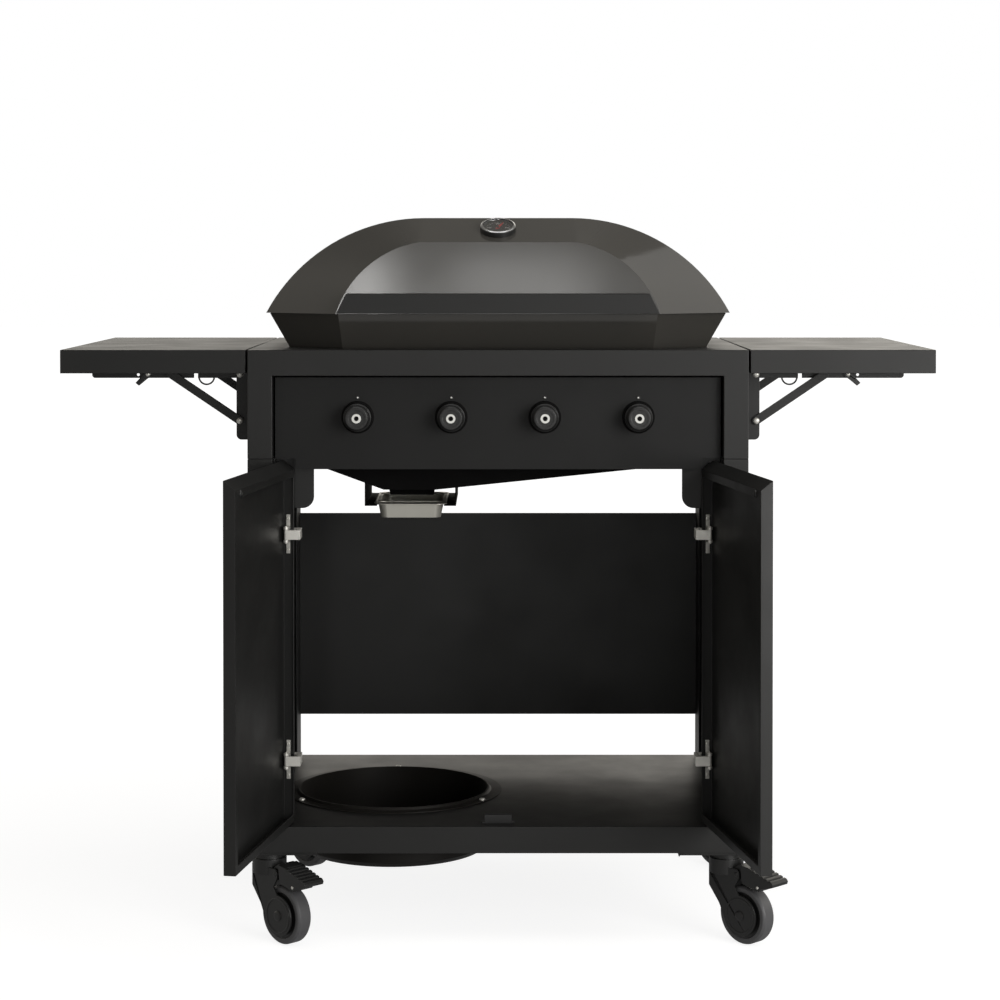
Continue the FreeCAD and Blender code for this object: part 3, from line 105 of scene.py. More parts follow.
@dataclass(frozen=True)
class Edge:
    """How the sharp edges of a piece are rounded.

    Attributes:
        radius: How far the rounding reaches from an edge, in millimetres.
        steps: Facets across the rounding.
        sharper_than: Edges that turn by more than this many degrees are rounded.
        clamp: Whether short edges hold the rounding back.
    """

    radius: float
    steps: int = 2
    sharper_than: float = 30.0
    clamp: bool = False


def start_clean() -> None:
    """Leave edit mode, drop every selection and go back to picking points."""
    if bpy.context.object and bpy.context.object.mode != "OBJECT":
        bpy.ops.object.mode_set(mode="OBJECT")
    bpy.ops.object.select_all(action="DESELECT")
    bpy.context.tool_settings.mesh_select_mode = (True, False, False)


def work_on(piece: Piece) -> None:
    """Select one piece alone and make it the active one.

    Args:
        piece: The piece to work on.
    """
    start_clean()
    piece.select_set(True)
    bpy.context.view_layer.objects.active = piece


def shape_faces(piece: Piece, test: FaceTest, shaping: Callable[..., Any], **settings: Any) -> None:
    """Run one edit operator on the faces of a piece that pass a test.

    Args:
        piece: The piece to edit.
        test: Takes a face's centre and normal and says whether to select it.
        shaping: The operator.
        settings: What the operator is given.
    """
    work_on(piece)
    mesh = piece.data
    for item in (*mesh.vertices, *mesh.edges, *mesh.polygons):
        item.select = False
    for face in mesh.polygons:
        face.select = test(face.center, face.normal)
    bpy.context.tool_settings.mesh_select_mode = (False, False, True)
    bpy.ops.object.mode_set(mode="EDIT")
    shaping(**settings)
    bpy.ops.object.mode_set(mode="OBJECT")


def face_out(piece: Piece) -> None:
    """Merge doubled points and turn every face outwards.

    Args:
        piece: The piece to mend.
    """
    work_on(piece)
    bpy.ops.object.mode_set(mode="EDIT")
    bpy.ops.mesh.select_all(action="SELECT")
    bpy.ops.mesh.remove_doubles(threshold=WELD * MM)
    bpy.ops.mesh.normals_make_consistent(inside=False)
    bpy.ops.object.mode_set(mode="OBJECT")


def apply_modifier(piece: Piece, kind: str, settings: dict[str, Any]) -> None:
    """Add one modifier to a piece and apply it.

    Args:
        piece: The piece to change.
        kind: The modifier's type name.
        settings: Values of its properties.
    """
    work_on(piece)
    modifier = piece.modifiers.new(kind.lower(), kind)
    for key, value in settings.items():
        setattr(modifier, key, value)
    bpy.ops.object.modifier_apply(modifier=modifier.name)


def shade(piece: Piece, sharper_than: float = 38) -> None:
    """Shade a piece smooth up to its sharp edges, and keep its broad faces flat.

    Args:
        piece: The piece to shade.
        sharper_than: Edges that turn by more than this many degrees stay sharp.
    """
    work_on(piece)
    bpy.ops.object.shade_smooth_by_angle(angle=math.radians(sharper_than))
    apply_modifier(piece, "WEIGHTED_NORMAL", {"keep_sharp": True, "weight": 100})


def round_edges(piece: Piece, edge: Edge) -> None:
    """Round the sharp edges of a piece and shade it smooth up to them.

    Args:
        piece: The piece to soften.
        edge: How its edges are rounded.
    """
    apply_modifier(piece, "BEVEL", {
        "width": edge.radius * MM,
        "segments": edge.steps,
        "limit_method": "ANGLE",
        "angle_limit": math.radians(edge.sharper_than),
        "use_clamp_overlap": edge.clamp,
    })
    shade(piece)


def settle_at(piece: Piece, at: Point, turn: Point = (0, 0, 0)) -> None:
    """Move a piece to its place and put that into its mesh.

    Args:
        piece: The piece to move.
        at: Where its origin goes, in millimetres.
        turn: How it is turned first about X, Y and Z, in degrees.
    """
    work_on(piece)
    piece.rotation_euler = Euler([math.radians(angle) for angle in turn])
    piece.location = Vector(at) * MM
    bpy.ops.object.transform_apply(location=True, rotation=True, scale=True)


def settle_facing(piece: Piece, at: Point, towards: Point) -> None:
    """Move a piece that was modelled about +Z to its place, with its top towards a direction."""
    turn = Vector((0, 0, 1)).rotation_difference(Vector(towards)).to_euler()
    settle_at(piece, at, tuple(math.degrees(angle) for angle in turn))


def copy_of(piece: Piece, name: str) -> Piece:
    """Copy a piece with a mesh of its own.

    Args:
        piece: The piece to copy.
        name: The copy's name.

    Returns:
        The copy.
    """
    twin = bpy.data.objects.new(name, piece.data.copy())
    bpy.context.scene.collection.objects.link(twin)
    return twin


def joined(name: str, pieces: Sequence[Piece]) -> Piece:
    """Join pieces that are fixed to each other.

    Args:
        name: The joined piece's name.
        pieces: The pieces, which are used up.

    Returns:
        The joined piece.
    """
    work_on(pieces[0])
    for piece in pieces:
        piece.select_set(True)
    bpy.ops.object.join()
    whole = bpy.context.object
    whole.name = name
    return whole


def spread(name: str, pattern: Piece, places: Iterable[Place]) -> Piece:
    """Copy a modelled piece to several places and join the copies.

    Args:
        name: The joined piece's name.
        pattern: The piece to repeat, modelled about +Z at the origin; it is used up.
        places: Where each copy goes in millimetres, and the direction its top faces.

    Returns:
        The joined piece.
    """
    copies = []
    for at, towards in places:
        twin = copy_of(pattern, f"{name}_{len(copies)}")
        settle_facing(twin, at, towards)
        copies.append(twin)
    bpy.data.objects.remove(pattern)
    return joined(name, copies)


def turned(name: str, rings: Sequence[Pair], sides: int = 40, hollow: bool = False) -> Piece:
    """Draw a disc or a loop up through rings, as a lathe would leave it, about +Z.

    Args:
        name: The piece's name.
        rings: Radius and height of each ring, in millimetres, from the lowest.
        sides: Points round each ring.
        hollow: Whether the rings come back to the first one, round a hole.

    Returns:
        The closed round piece at the origin.
    """
    start_clean()
    radius, height = rings[0]
    bpy.ops.mesh.primitive_circle_add(
        vertices=sides, radius=radius * MM, location=(0, 0, height * MM),
        fill_type="NOTHING" if hollow else "NGON")
    piece = bpy.context.object
    piece.name = name
    bpy.ops.object.transform_apply(location=True)
    bpy.ops.object.mode_set(mode="EDIT")
    bpy.ops.mesh.select_all(action="SELECT")
    for next_radius, next_height in rings[1:]:
        rise = (0, 0, (next_height - height) * MM)
        bpy.ops.mesh.extrude_region_move(TRANSFORM_OT_translate={"value": rise})
        ratio = next_radius / radius
        bpy.ops.transform.resize(value=(ratio, ratio, 1), center_override=(0, 0, next_height * MM))
        radius, height = next_radius, next_height
    bpy.ops.object.mode_set(mode="OBJECT")
    face_out(piece)
    shade(piece, sharper_than=40)
    return piece


def block(name: str, size: Point, at: Point = (0, 0, 0)) -> Piece:
    """Add a square block to shape further.

    Args:
        name: The piece's name.
        size: Its length, width and height in millimetres.
        at: Its middle in millimetres.

    Returns:
        The block.
    """
    start_clean()
    bpy.ops.mesh.primitive_cube_add(size=1, location=Vector(at) * MM)
    piece = bpy.context.object
    piece.name = name
    piece.scale = Vector(size) * MM
    bpy.ops.object.transform_apply(location=True, rotation=True, scale=True)
    return piece


def sunk(piece: Piece, cutter: Piece) -> None:
    """Cut one piece's shape out of another and throw the cutter away."""
    apply_modifier(piece, "BOOLEAN", {"operation": "DIFFERENCE", "solver": "EXACT", "object": cutter})
    bpy.data.objects.remove(cutter)


def pan_head(radius: float, height: float) -> Piece:
    """Model a pan-head screw with a cross recess, standing on Z = 0.

    Args:
        radius: The head's radius in millimetres.
        height: Its height in millimetres.

    Returns:
        The screw head.
    """
    head = turned("pan_head", [
        (radius, 0), (radius, 0.4 * height), (0.9 * radius, 0.72 * height), (0.62 * radius, height)],
        sides=28)
    long, narrow = 1.15 * radius, 0.26 * radius
    for size in ((long, narrow, height), (narrow, long, height)):
        sunk(head, block("recess_cutter", size, (0, 0, height)))
    shade(head, sharper_than=40)
    return head


def rivet_head(radius: float, height: float) -> Piece:
    """Model a domed rivet head, standing on Z = 0.

    Args:
        radius: The head's radius in millimetres.
        height: Its height in millimetres.

    Returns:
        The rivet head.
    """
    return turned("rivet_head", [
        (radius, 0), (radius, 0.2 * height), (0.92 * radius, 0.5 * height), (0.72 * radius, 0.78 * height),
        (0.42 * radius, 0.95 * height), (0.12 * radius, height)],
        sides=28)


def merged(node: str) -> Piece:
    """Copy a CAD node with its loose triangles merged back into whole faces.

    Args:
        node: The CAD node to copy.

    Returns:
        The copy.
    """
    piece = copy_of(frame["nodes"][node], f"{node}_formed")
    work_on(piece)
    bpy.ops.mesh.customdata_custom_splitnormals_clear()
    bpy.ops.object.mode_set(mode="EDIT")
    bpy.ops.mesh.select_all(action="SELECT")
    bpy.ops.mesh.remove_doubles(threshold=CAD_WELD * MM)
    bpy.ops.mesh.dissolve_limited(angle_limit=math.radians(FLAT_ANGLE))
    bpy.ops.object.mode_set(mode="OBJECT")
    return piece


def formed(node: str, edge: Edge, drills: Sequence[Piece] = ()) -> Piece:
    """Copy a CAD node with its sharp edges rounded as folding or moulding leaves them.

    Args:
        node: The CAD node to copy.
        edge: How its edges are rounded.
        drills: Pieces to cut out before the rounding; they are used up.

    Returns:
        The new piece, which stands in the node's place.
    """
    piece = merged(node)
    for drill in drills:
        sunk(piece, drill)
    round_edges(piece, edge)
    return piece


# Finishes

def linear(colour: str) -> tuple[float, float, float, float]:
    """Turn an sRGB hex colour into linear light with full opacity."""
    channels = [int(colour[i:i + 2], 16) / 255 for i in (1, 3, 5)]
    return (*(c / 12.92 if c <= 0.04045 else ((c + 0.055) / 1.055) ** 2.4 for c in channels), 1.0)


def per_metre(size: float) -> float:
    """Return the pattern scale that repeats about every size millimetres in Object coordinates."""
    return 1 / (size * MM)


def add_node(
    tree: Tree, kind: str, settings: dict[str, Any] | None = None,
    inputs: dict[str | int, Any] | None = None,
) -> Node:
    """Add a node to a tree, with its settings and its inputs.

    Args:
        tree: The material's or the world's node tree.
        kind: The node's type name, after ShaderNode.
        settings: Values of the node's own properties.
        inputs: Sockets by name or number; a socket given as a value is linked.

    Returns:
        The node.
    """
    node = tree.nodes.new(f"ShaderNode{kind}")
    for key, value in (settings or {}).items():
        setattr(node, key, value)
    for key, value in (inputs or {}).items():
        if isinstance(value, Socket):
            tree.links.new(value, node.inputs[key])
        else:
            node.inputs[key].default_value = value
    return node


@dataclass(frozen=True)
class Finish:
    """A surface as it was made: its colour, a second shade of it and its gloss.

    Attributes:
        title: The material's name.
        colour: Its colour.
        shade: The shade that it drifts to.
        roughness: How dull it is.
        metallic: How much of it is bare metal.
        cloud: Size of its drifting patches, in millimetres.
        swing: How far the roughness drifts either way.
        specular: Strength of its sheen.
    """

    title: str
    colour: str
    shade: str
    roughness: float
    metallic: float = 0.0
    cloud: float = 90.0
    swing: float = 0.05
    specular: float = 0.5

    def material(self) -> bpy.types.Material:
        """Make the finish's material once.

        Returns:
            The material.
        """
        made = bpy.data.materials.get(self.title)
        if made:
            return made
        made = bpy.data.materials.new(self.title)
        made.use_nodes = True
        tree = made.node_tree
        tree.nodes.clear()
        place = add_node(tree, "TexCoord").outputs["Object"]
        patches = add_node(tree, "TexNoise", inputs={
            "Vector": place, "Scale": per_metre(self.cloud), "Detail": 3.0, "Roughness": 0.55})
        tint = add_node(tree, "Mix", {"data_type": "RGBA"}, {
            0: patches.outputs["Fac"], 6: linear(self.colour), 7: linear(self.shade)})
        gloss = add_node(tree, "MapRange", inputs={
            "Value": patches.outputs["Fac"], "From Min": 0.3, "From Max": 0.7,
            "To Min": self.roughness - self.swing, "To Max": self.roughness + self.swing})
        shader = add_node(tree, "BsdfPrincipled", inputs={
            "Base Color": tint.outputs[2], "Roughness": gloss.outputs["Result"],
            "Metallic": self.metallic, "Specular IOR Level": self.specular})
        self.detail(tree, shader, place)
        add_node(tree, "OutputMaterial", inputs={"Surface": shader.outputs["BSDF"]})
        return made

    def detail(self, tree: Tree, shader: Node, place: Socket) -> None:
        """Add what this surface shows close up; the plain finish adds nothing."""


@dataclass(frozen=True)
class Grained(Finish):
    """A coat, casting or moulding whose skin is grained all over, by sizes in millimetres."""

    grain: float = 1.6
    depth: float = 0.02
    strength: float = 0.35

    def detail(self, tree: Tree, shader: Node, place: Socket) -> None:
        """Bump the skin with its grain.

        Args:
            tree: The material's node tree.
            shader: The node that takes the bump.
            place: The Object coordinates.
        """
        grain = add_node(tree, "TexNoise", inputs={
            "Vector": place, "Scale": per_metre(self.grain), "Detail": 2.0, "Roughness": 0.5})
        skin = add_node(tree, "Bump", inputs={
            "Height": grain.outputs["Fac"], "Strength": self.strength, "Distance": self.depth * MM})
        tree.links.new(skin.outputs["Normal"], shader.inputs["Normal"])


@dataclass(frozen=True)
class Brushed(Finish):
    """Rolled or brushed metal with its lines along X, by sizes in millimetres."""

    line: float = 0.7
    run: float = 45.0
    depth: float = 0.006
    strength: float = 0.25
    stretch: float = 0.45

    def detail(self, tree: Tree, shader: Node, place: Socket) -> None:
        """Draw the brush lines, which stay fine across and run long along X.

        Args:
            tree: The material's node tree.
            shader: The node that takes the lines.
            place: The Object coordinates.
        """
        across = per_metre(self.line)
        drawn = add_node(tree, "Mapping", inputs={
            "Vector": place, "Scale": (per_metre(self.run), across, across)})
        lines = add_node(tree, "TexNoise", inputs={
            "Vector": drawn.outputs["Vector"], "Scale": 1.0, "Detail": 2.0})
        skin = add_node(tree, "Bump", inputs={
            "Height": lines.outputs["Fac"], "Strength": self.strength, "Distance": self.depth * MM})
        tree.links.new(skin.outputs["Normal"], shader.inputs["Normal"])
        shader.inputs["Anisotropic"].default_value = self.stretch


@dataclass(frozen=True)
class Clear(Finish):
    """Clear glass."""

    def detail(self, tree: Tree, shader: Node, place: Socket) -> None:
        """Let light through the lens."""
        shader.inputs["Transmission Weight"].default_value = 1.0


class Surface(Enum):
    """Every finish on the grill."""

    # Epoxy-polyester powder baked on steel: deep black, an even satin with a fine orange peel.
    # The peel is drawn at 1.8 mm, twice its real size, so that it shows.
    POWDER = Grained("powder_coat_black", "#121212", "#171716", 0.46, specular=0.43, grain=1.8)
    # The same powder in the bottle well, a little duller.
    WELL = Grained("powder_coat_black_dull", "#1a1917", "#201e1c", 0.45, specular=0.15, grain=1.8)
    # A darker, matt copy of it on the control panel, with little sheen.
    MATT = Grained("powder_coat_black_matt", "#0e0e0e", "#131313", 0.55, specular=0.3, grain=1.8)
    # Flat black on the hopper, its outlet, the bezels and the knobs' dots. On the hopper and the bezels it
    # is painted shade: darker and duller than their coat, for the shadow deep in the cabinet and in the gap
    # round each knob.
    HEAT_PAINT = Grained("flat_black_and_painted_shade", "#080808", "#0c0b0b", 0.75, specular=0.1, cloud=30.0,
                         grain=2.4, depth=0.03)
    # Vitreous enamel fired on drawn steel: warm charcoal, glossy, with a faint mottle and a soft wave.
    ENAMEL = Grained("vitreous_enamel_charcoal", "#393836", "#403e3a", 0.13, cloud=140.0, swing=0.02,
                     specular=0.65, grain=6.0, depth=0.006)
    # Rolled stainless sheet: soft grey with fine lines along it.
    STAINLESS = Brushed("stainless_steel_brushed", "#d2d0c6", "#c2c0b8", 0.34, metallic=0.55, cloud=60.0)
    # Bright zinc on pressed steel: pale grey, patchy from the bath.
    ZINC = Grained("zinc_plated_steel", "#dedcd5", "#c6c5c0", 0.38, metallic=0.55, cloud=14.0, swing=0.08,
                   grain=2.0, depth=0.006)
    # Nickel-chrome plate on the dial's rim: nearly a mirror.
    CHROME = Finish("chrome_plate_bright", "#d8d9da", "#cfd0d1", 0.1, metallic=1.0, cloud=30.0, swing=0.02)
    # Turned brass valve bodies, unlacquered: warm yellow with fine tool lines.
    BRASS = Brushed("brass_turned", "#b08d4a", "#9a7a3e", 0.32, metallic=1.0, cloud=18.0)
    # Cast iron under matt enamel: rough sand-cast skin.
    IRON = Grained("cast_iron_enamelled", "#1d1c1b", "#262523", 0.55, cloud=24.0, grain=2.2, depth=0.08)
    # Glass-filled nylon and ABS mouldings: black with a fine spark-eroded texture.
    PLASTIC = Grained("moulded_nylon_black", "#141414", "#1a1a1a", 0.42, cloud=40.0, grain=1.2, depth=0.012)
    # Thermoplastic-rubber tread: dull grey with a slight chalky bloom.
    TREAD = Grained("rubber_tread_grey", "#4c4c4e", "#58585a", 0.45, cloud=30.0, grain=1.5, depth=0.03)
    # Screen-printed ink on the knobs and the dial: an even white.
    INK = Finish("screen_print_white", "#e6e6e2", "#dcdcd8", 0.5, cloud=20.0)
    # The dial's printed plate: flat black ink on tin.
    DIAL = Finish("dial_plate_black", "#0c0c0c", "#121212", 0.5, cloud=20.0)
    # Stoved red paint on the pointer.
    RED = Finish("pointer_paint_red", "#c8231c", "#b41d18", 0.4, cloud=10.0)
    # Float glass over the dial: clear and smooth.
    GLASS = Clear("dial_glass_clear", "#ffffff", "#fafafa", 0.03, swing=0.01)


SLOT_SURFACE: dict[str, Surface] = {
    "cart_powder_coat": Surface.POWDER,
    "lid_enamel": Surface.ENAMEL,
    "stainless": Surface.STAINLESS,
    "zinc_plate": Surface.ZINC,
    "chrome": Surface.CHROME,
    "brass": Surface.BRASS,
    "cast_iron": Surface.IRON,
    "black_plastic": Surface.PLASTIC,
    "tread": Surface.TREAD,
    "dial_glass": Surface.GLASS,
    "needle_paint": Surface.RED,
}
NODE_SLOT: dict[str, str] = {part["node"]: part["material_slot"] for part in frame["record"]["subparts"]}


def coat(piece: Piece, surface: Surface) -> None:
    """Give a piece one finish all over.

    Args:
        piece: The piece to coat.
        surface: The finish.
    """
    if not piece.material_slots:
        piece.data.materials.append(None)
    for part in piece.material_slots:
        part.material = surface.value.material()


def fit(
    piece: Piece, body: str, slot: str, surface: Surface | None = None, stands_for: Iterable[str] = (),
) -> None:
    """Finish a piece, fix it to its body and report it.

    Args:
        piece: The finished mesh, at rest in the shared frame.
        body: The CAD body that carries it.
        slot: The record's material slot.
        surface: The finish to coat it with, or that of its slot.
        stands_for: CAD nodes that it replaces.
    """
    surface = surface or SLOT_SURFACE[slot]
    coat(piece, surface)
    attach(piece, body)
    if stands_for:
        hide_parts(*stands_for)
    LOG.info("%s rides %s in %s", piece.name, body, surface.value.title)


def fit_for(piece: Piece, node: str, surface: Surface | None = None) -> None:
    """Fit a piece in the place of a CAD node, on the node's own body and slot."""
    fit(piece, frame["nodes"][node]["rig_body"], NODE_SLOT[node], surface, [node])


def fit_formed(node: str, edge: Edge, surface: Surface | None = None) -> None:
    """Replace a CAD node with a copy whose edges are rounded, in the finish given or its slot's."""
    fit_for(formed(node, edge), node, surface)


# Sub-assemblies

@dataclass
class Cart:
    """Base, legs, panels and upper frame: folded steel sheet, powder coated."""

    fold: Edge = Edge(1.2)
    sheet: Edge = Edge(0.6)
    drawn: Edge = Edge(0.6, sharper_than=20)
    plate: Edge = Edge(0.5)
    well_x: float = -170.0
    well_setback: float = 262.0
    well_screw: Pair = (5.0, 3.0)
    well_screw_radius: float = 167.0
    well_screw_angles: tuple[float, ...] = (90.0, 210.0, 330.0)
    flange_top_z: float = 180.5
    bracket_screw: Pair = (4.0, 2.5)
    bracket_screw_z: Pair = (785.0, 851.0)
    bracket_setback: float = 67.0
    foot_x: float = 385.5
    corner_plate: Point = (102.0, 84.0, 3.9)
    corner_lip: Pair = (2.0, 1.6)
    corner_at: Point = (330.0, 45.0, 136.05)

    def build(self) -> None:
        """Form the sheet pieces, weld the corners and drive the screws."""
        for node in ("legs", "upper_frame", "base_tray", "side_panels"):
            fit_formed(node, self.fold)
        coat(frame["nodes"]["control_panel"], Surface.MATT)
        for node in ("back_panel", "corner_gussets", "caster_plates", "table_brackets"):
            fit_formed(node, self.sheet)
        fit_formed("bottle_tray", self.drawn, Surface.WELL)
        fit_formed("door_catch", self.sheet)
        self.stiffen_corners()
        self.drive_screws()

    def stiffen_corners(self) -> None:
        """Weld a plate with a turned-down inner edge under each corner of the base."""
        pattern = block("corner_plate", self.corner_plate)
        reach, drop = self.corner_lip
        edge = -self.corner_plate[0] / 2 * MM
        extrude = bpy.ops.mesh.extrude_region_move
        shape_faces(pattern, lambda centre, normal: normal.x < -FACING,
                    extrude, TRANSFORM_OT_translate={"value": (-reach * MM, 0, 0)})
        shape_faces(pattern, lambda centre, normal: normal.z < -FACING and centre.x < edge,
                    extrude, TRANSFORM_OT_translate={"value": (0, 0, -drop * MM)})
        round_edges(pattern, self.plate)
        x, setback, z = self.corner_at
        plates = []
        for y in (FRONT_Y + setback, BACK_Y - setback):
            for side, sign in SIDES:
                twin = copy_of(pattern, f"corner_plate_{side}")
                settle_at(twin, (sign * x, y, z), (0, 0, 0 if sign > 0 else 180))
                plates.append(twin)
        bpy.data.objects.remove(pattern)
        fit(joined("base_corner_plates", plates), "cart", "cart_powder_coat")

    def drive_screws(self) -> None:
        """Put pan heads round the bottle well and on the feet of the table brackets."""
        middle_y = FRONT_Y + self.well_setback
        well = []
        for angle in self.well_screw_angles:
            along, across = math.cos(math.radians(angle)), math.sin(math.radians(angle))
            at = (self.well_x + self.well_screw_radius * along,
                  middle_y + self.well_screw_radius * across, self.flange_top_z)
            well.append((at, (0, 0, 1)))
        feet = []
        for y in (FRONT_Y + self.bracket_setback, BACK_Y - self.bracket_setback):
            for z in self.bracket_screw_z:
                feet += [((sign * self.foot_x, y, z), (sign, 0, 0)) for _, sign in SIDES]
        heads = [
            spread("well_screws", pan_head(*self.well_screw), well),
            spread("bracket_screws", pan_head(*self.bracket_screw), feet),
        ]
        fit_for(joined("pan_head_screws", heads), "screws")


@dataclass
class Cooking:
    """Firebox, burners, tents and grates under the lid."""

    edges: tuple[tuple[str, Edge], ...] = (
        ("firebox", Edge(0.8, sharper_than=20)), ("firebox_rails", Edge(0.6)),
        ("heat_tents", Edge(0.5)), ("cooking_grates", Edge(1.4)))
    burner_radius: float = 13.0
    first_port: float = 130.0
    last_port: float = 40.0
    port_pitch: float = 9.0
    port_tilt: float = 35.0
    port: Outline = ((0.9, -0.3), (2.0, -0.3), (1.8, 0.35), (1.1, 0.35), (0.9, -0.3))

    def build(self) -> None:
        """Form the castings and sheets, and raise the ports of the burners."""
        for node, edge in self.edges:
            fit_formed(node, edge)
        self.raise_ports()

    def raise_ports(self) -> None:
        """Set a row of raised flame ports along each shoulder of every burner, in line with its knob."""
        low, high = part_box("burners")
        start, end = low[1] / MM + self.first_port, high[1] / MM - self.last_port
        rows = []
        for number in KNOBS:
            x, _, z = middle_of(f"knob_{number}")
            for sign in (-1, 1):
                lean = math.radians(self.port_tilt * sign)
                towards = (math.sin(lean), 0, math.cos(lean))
                port = turned("port", self.port, sides=8, hollow=True)
                across, up = self.burner_radius * towards[0], self.burner_radius * towards[2]
                settle_facing(port, (x + across, start, z + up), towards)
                apply_modifier(port, "ARRAY", {
                    "count": int((end - start) / self.port_pitch),
                    "use_relative_offset": False, "use_constant_offset": True,
                    "constant_offset_displace": (0, self.port_pitch * MM, 0)})
                rows.append(port)
        fit(joined("burner_ports", rows), "cart", "stainless")


@dataclass
class Lid:
    """Arched lid with its handle band and the dial on its front bevel."""

    shell: Edge = Edge(1.2, steps=3, sharper_than=15, clamp=True)
    handle: Edge = Edge(0.7)
    post: Edge = Edge(0.6, clamp=True)
    case: Edge = Edge(0.4, sharper_than=25)
    pin_x: Pair = (191.0, 216.0)
    pin_back: float = 10.0
    pin_z: float = 972.0
    pin_head: Pair = (6.0, 2.4)
    dial_tilt: float = 26.27
    lens_height: float = 7.1
    plate_bore: float = 1.3
    plate_radius: float = 22.3
    plate_z: float = 3.05
    plate_rim_z: float = 6.3
    ink_lift: float = 0.26
    tick_radius: float = 19.0
    tick_lengths: Pair = (3.4, 2.0)
    tick_section: Pair = (0.55, 0.12)
    tick_taper: float = 0.55
    tick_step: int = 15
    long_step: int = 45
    sweep: int = 135
    figures: tuple[tuple[str, int], ...] = (("100", -90), ("200", 0), ("300", 90))
    figure_radius: float = 13.6
    figure_size: Pair = (4.6, 0.05)
    cap: Outline = ((2.6, 4.3), (2.6, 4.8), (1.9, 5.3), (0.6, 5.5))
    rim: Outline = (
        (23.8, 8.5), (26.4, 7.8), (26.5, 8.25), (25.9, 8.75), (25.2, 9.1), (24.5, 9.25), (23.8, 9.0),
        (23.8, 8.5))

    def build(self) -> None:
        """Form the shell, the handle, the hinge posts and the dial."""
        fit_formed("lid_shell", self.shell)
        fit_formed("lid_handle", self.handle)
        fit_formed("lid_hinge_posts", self.post)
        fit_formed("thermometer_case", self.case, Surface.PLASTIC)
        self.head_pins()
        self.print_dial()

    def head_pins(self) -> None:
        """Put a rivet head on each end of the two hinge pins."""
        y = BACK_Y - self.pin_back
        inner, outer = self.pin_x
        places = []
        for _, sign in SIDES:
            places.append(((sign * inner, y, self.pin_z), (-sign, 0, 0)))
            places.append(((sign * outer, y, self.pin_z), (sign, 0, 0)))
        fit(spread("lid_pin_heads", rivet_head(*self.pin_head), places), "cart", "zinc_plate")

    def dial_place(self) -> Point:
        """Find the middle of the dial's seat on the lid, under the lens.

        Returns:
            The place in millimetres.
        """
        _, y, z = middle_of("thermometer_glass")
        tilt = math.radians(self.dial_tilt)
        return (0.0, y + self.lens_height * math.sin(tilt), z - self.lens_height * math.cos(tilt))

    def print_dial(self) -> None:
        """Line the dial with a black plate, print its scale, cap the pointer and rim the case."""
        bore, radius, floor, top = self.plate_bore, self.plate_radius, self.plate_z, self.plate_rim_z
        plate = turned("dial_plate", [
            (bore, floor), (radius - 0.5, floor), (radius, floor + 0.5), (radius, top), (radius - 0.3, top),
            (radius - 0.3, floor + 0.7), (radius - 0.8, floor + 0.2), (bore, floor + 0.2), (bore, floor)],
            sides=48, hollow=True)
        marks = [self.tick(angle) for angle in range(-self.sweep, self.sweep + 1, self.tick_step)]
        marks += [self.figure(text, angle) for text, angle in self.figures]
        scale = joined("dial_scale", marks)
        cap = turned("pointer_cap", self.cap, sides=24)
        rim = turned("dial_rim", self.rim, sides=64, hollow=True)
        for piece in (plate, scale, cap, rim):
            settle_at(piece, self.dial_place(), (self.dial_tilt, 0, 0))
        fit(plate, "lid", "black_plastic", Surface.DIAL)
        fit(scale, "lid", "needle_paint", Surface.INK)
        fit(rim, "lid", "chrome")
        fit(cap, "dial_needle", "black_plastic")

    def tick(self, angle: int) -> Piece:
        """Model one printed stroke of the scale, tapered inwards; every third one is long.

        Args:
            angle: Where it stands on the scale, in degrees clockwise from the top.

        Returns:
            The stroke.
        """
        long, short = self.tick_lengths
        length = long if angle % self.long_step == 0 else short
        width, thick = self.tick_section
        at = (0, self.tick_radius - length / 2, self.plate_z + self.ink_lift)
        stroke = block("tick", (width, length, thick), at)
        shape_faces(stroke, lambda centre, normal: normal.y < -FACING,
                    bpy.ops.transform.resize, value=(self.tick_taper, 1, 1))
        settle_at(stroke, (0, 0, 0), (0, 0, -angle))
        return stroke

    def figure(self, text: str, angle: int) -> Piece:
        """Model one printed number of the scale, upright.

        Args:
            text: The number.
            angle: Where it stands on the scale, in degrees clockwise from the top.

        Returns:
            The number as a mesh.
        """
        height, thick = self.figure_size
        start_clean()
        bpy.ops.object.text_add()
        piece = bpy.context.object
        piece.data.body = text
        piece.data.size = height * MM
        piece.data.extrude = thick * MM
        piece.data.resolution_u = 4
        piece.data.align_x = "CENTER"
        piece.data.align_y = "CENTER"
        bpy.ops.object.convert(target="MESH")
        turn = math.radians(angle)
        across, up = self.figure_radius * math.sin(turn), self.figure_radius * math.cos(turn)
        settle_at(bpy.context.object, (across, up, self.plate_z + self.ink_lift))
        return bpy.context.object


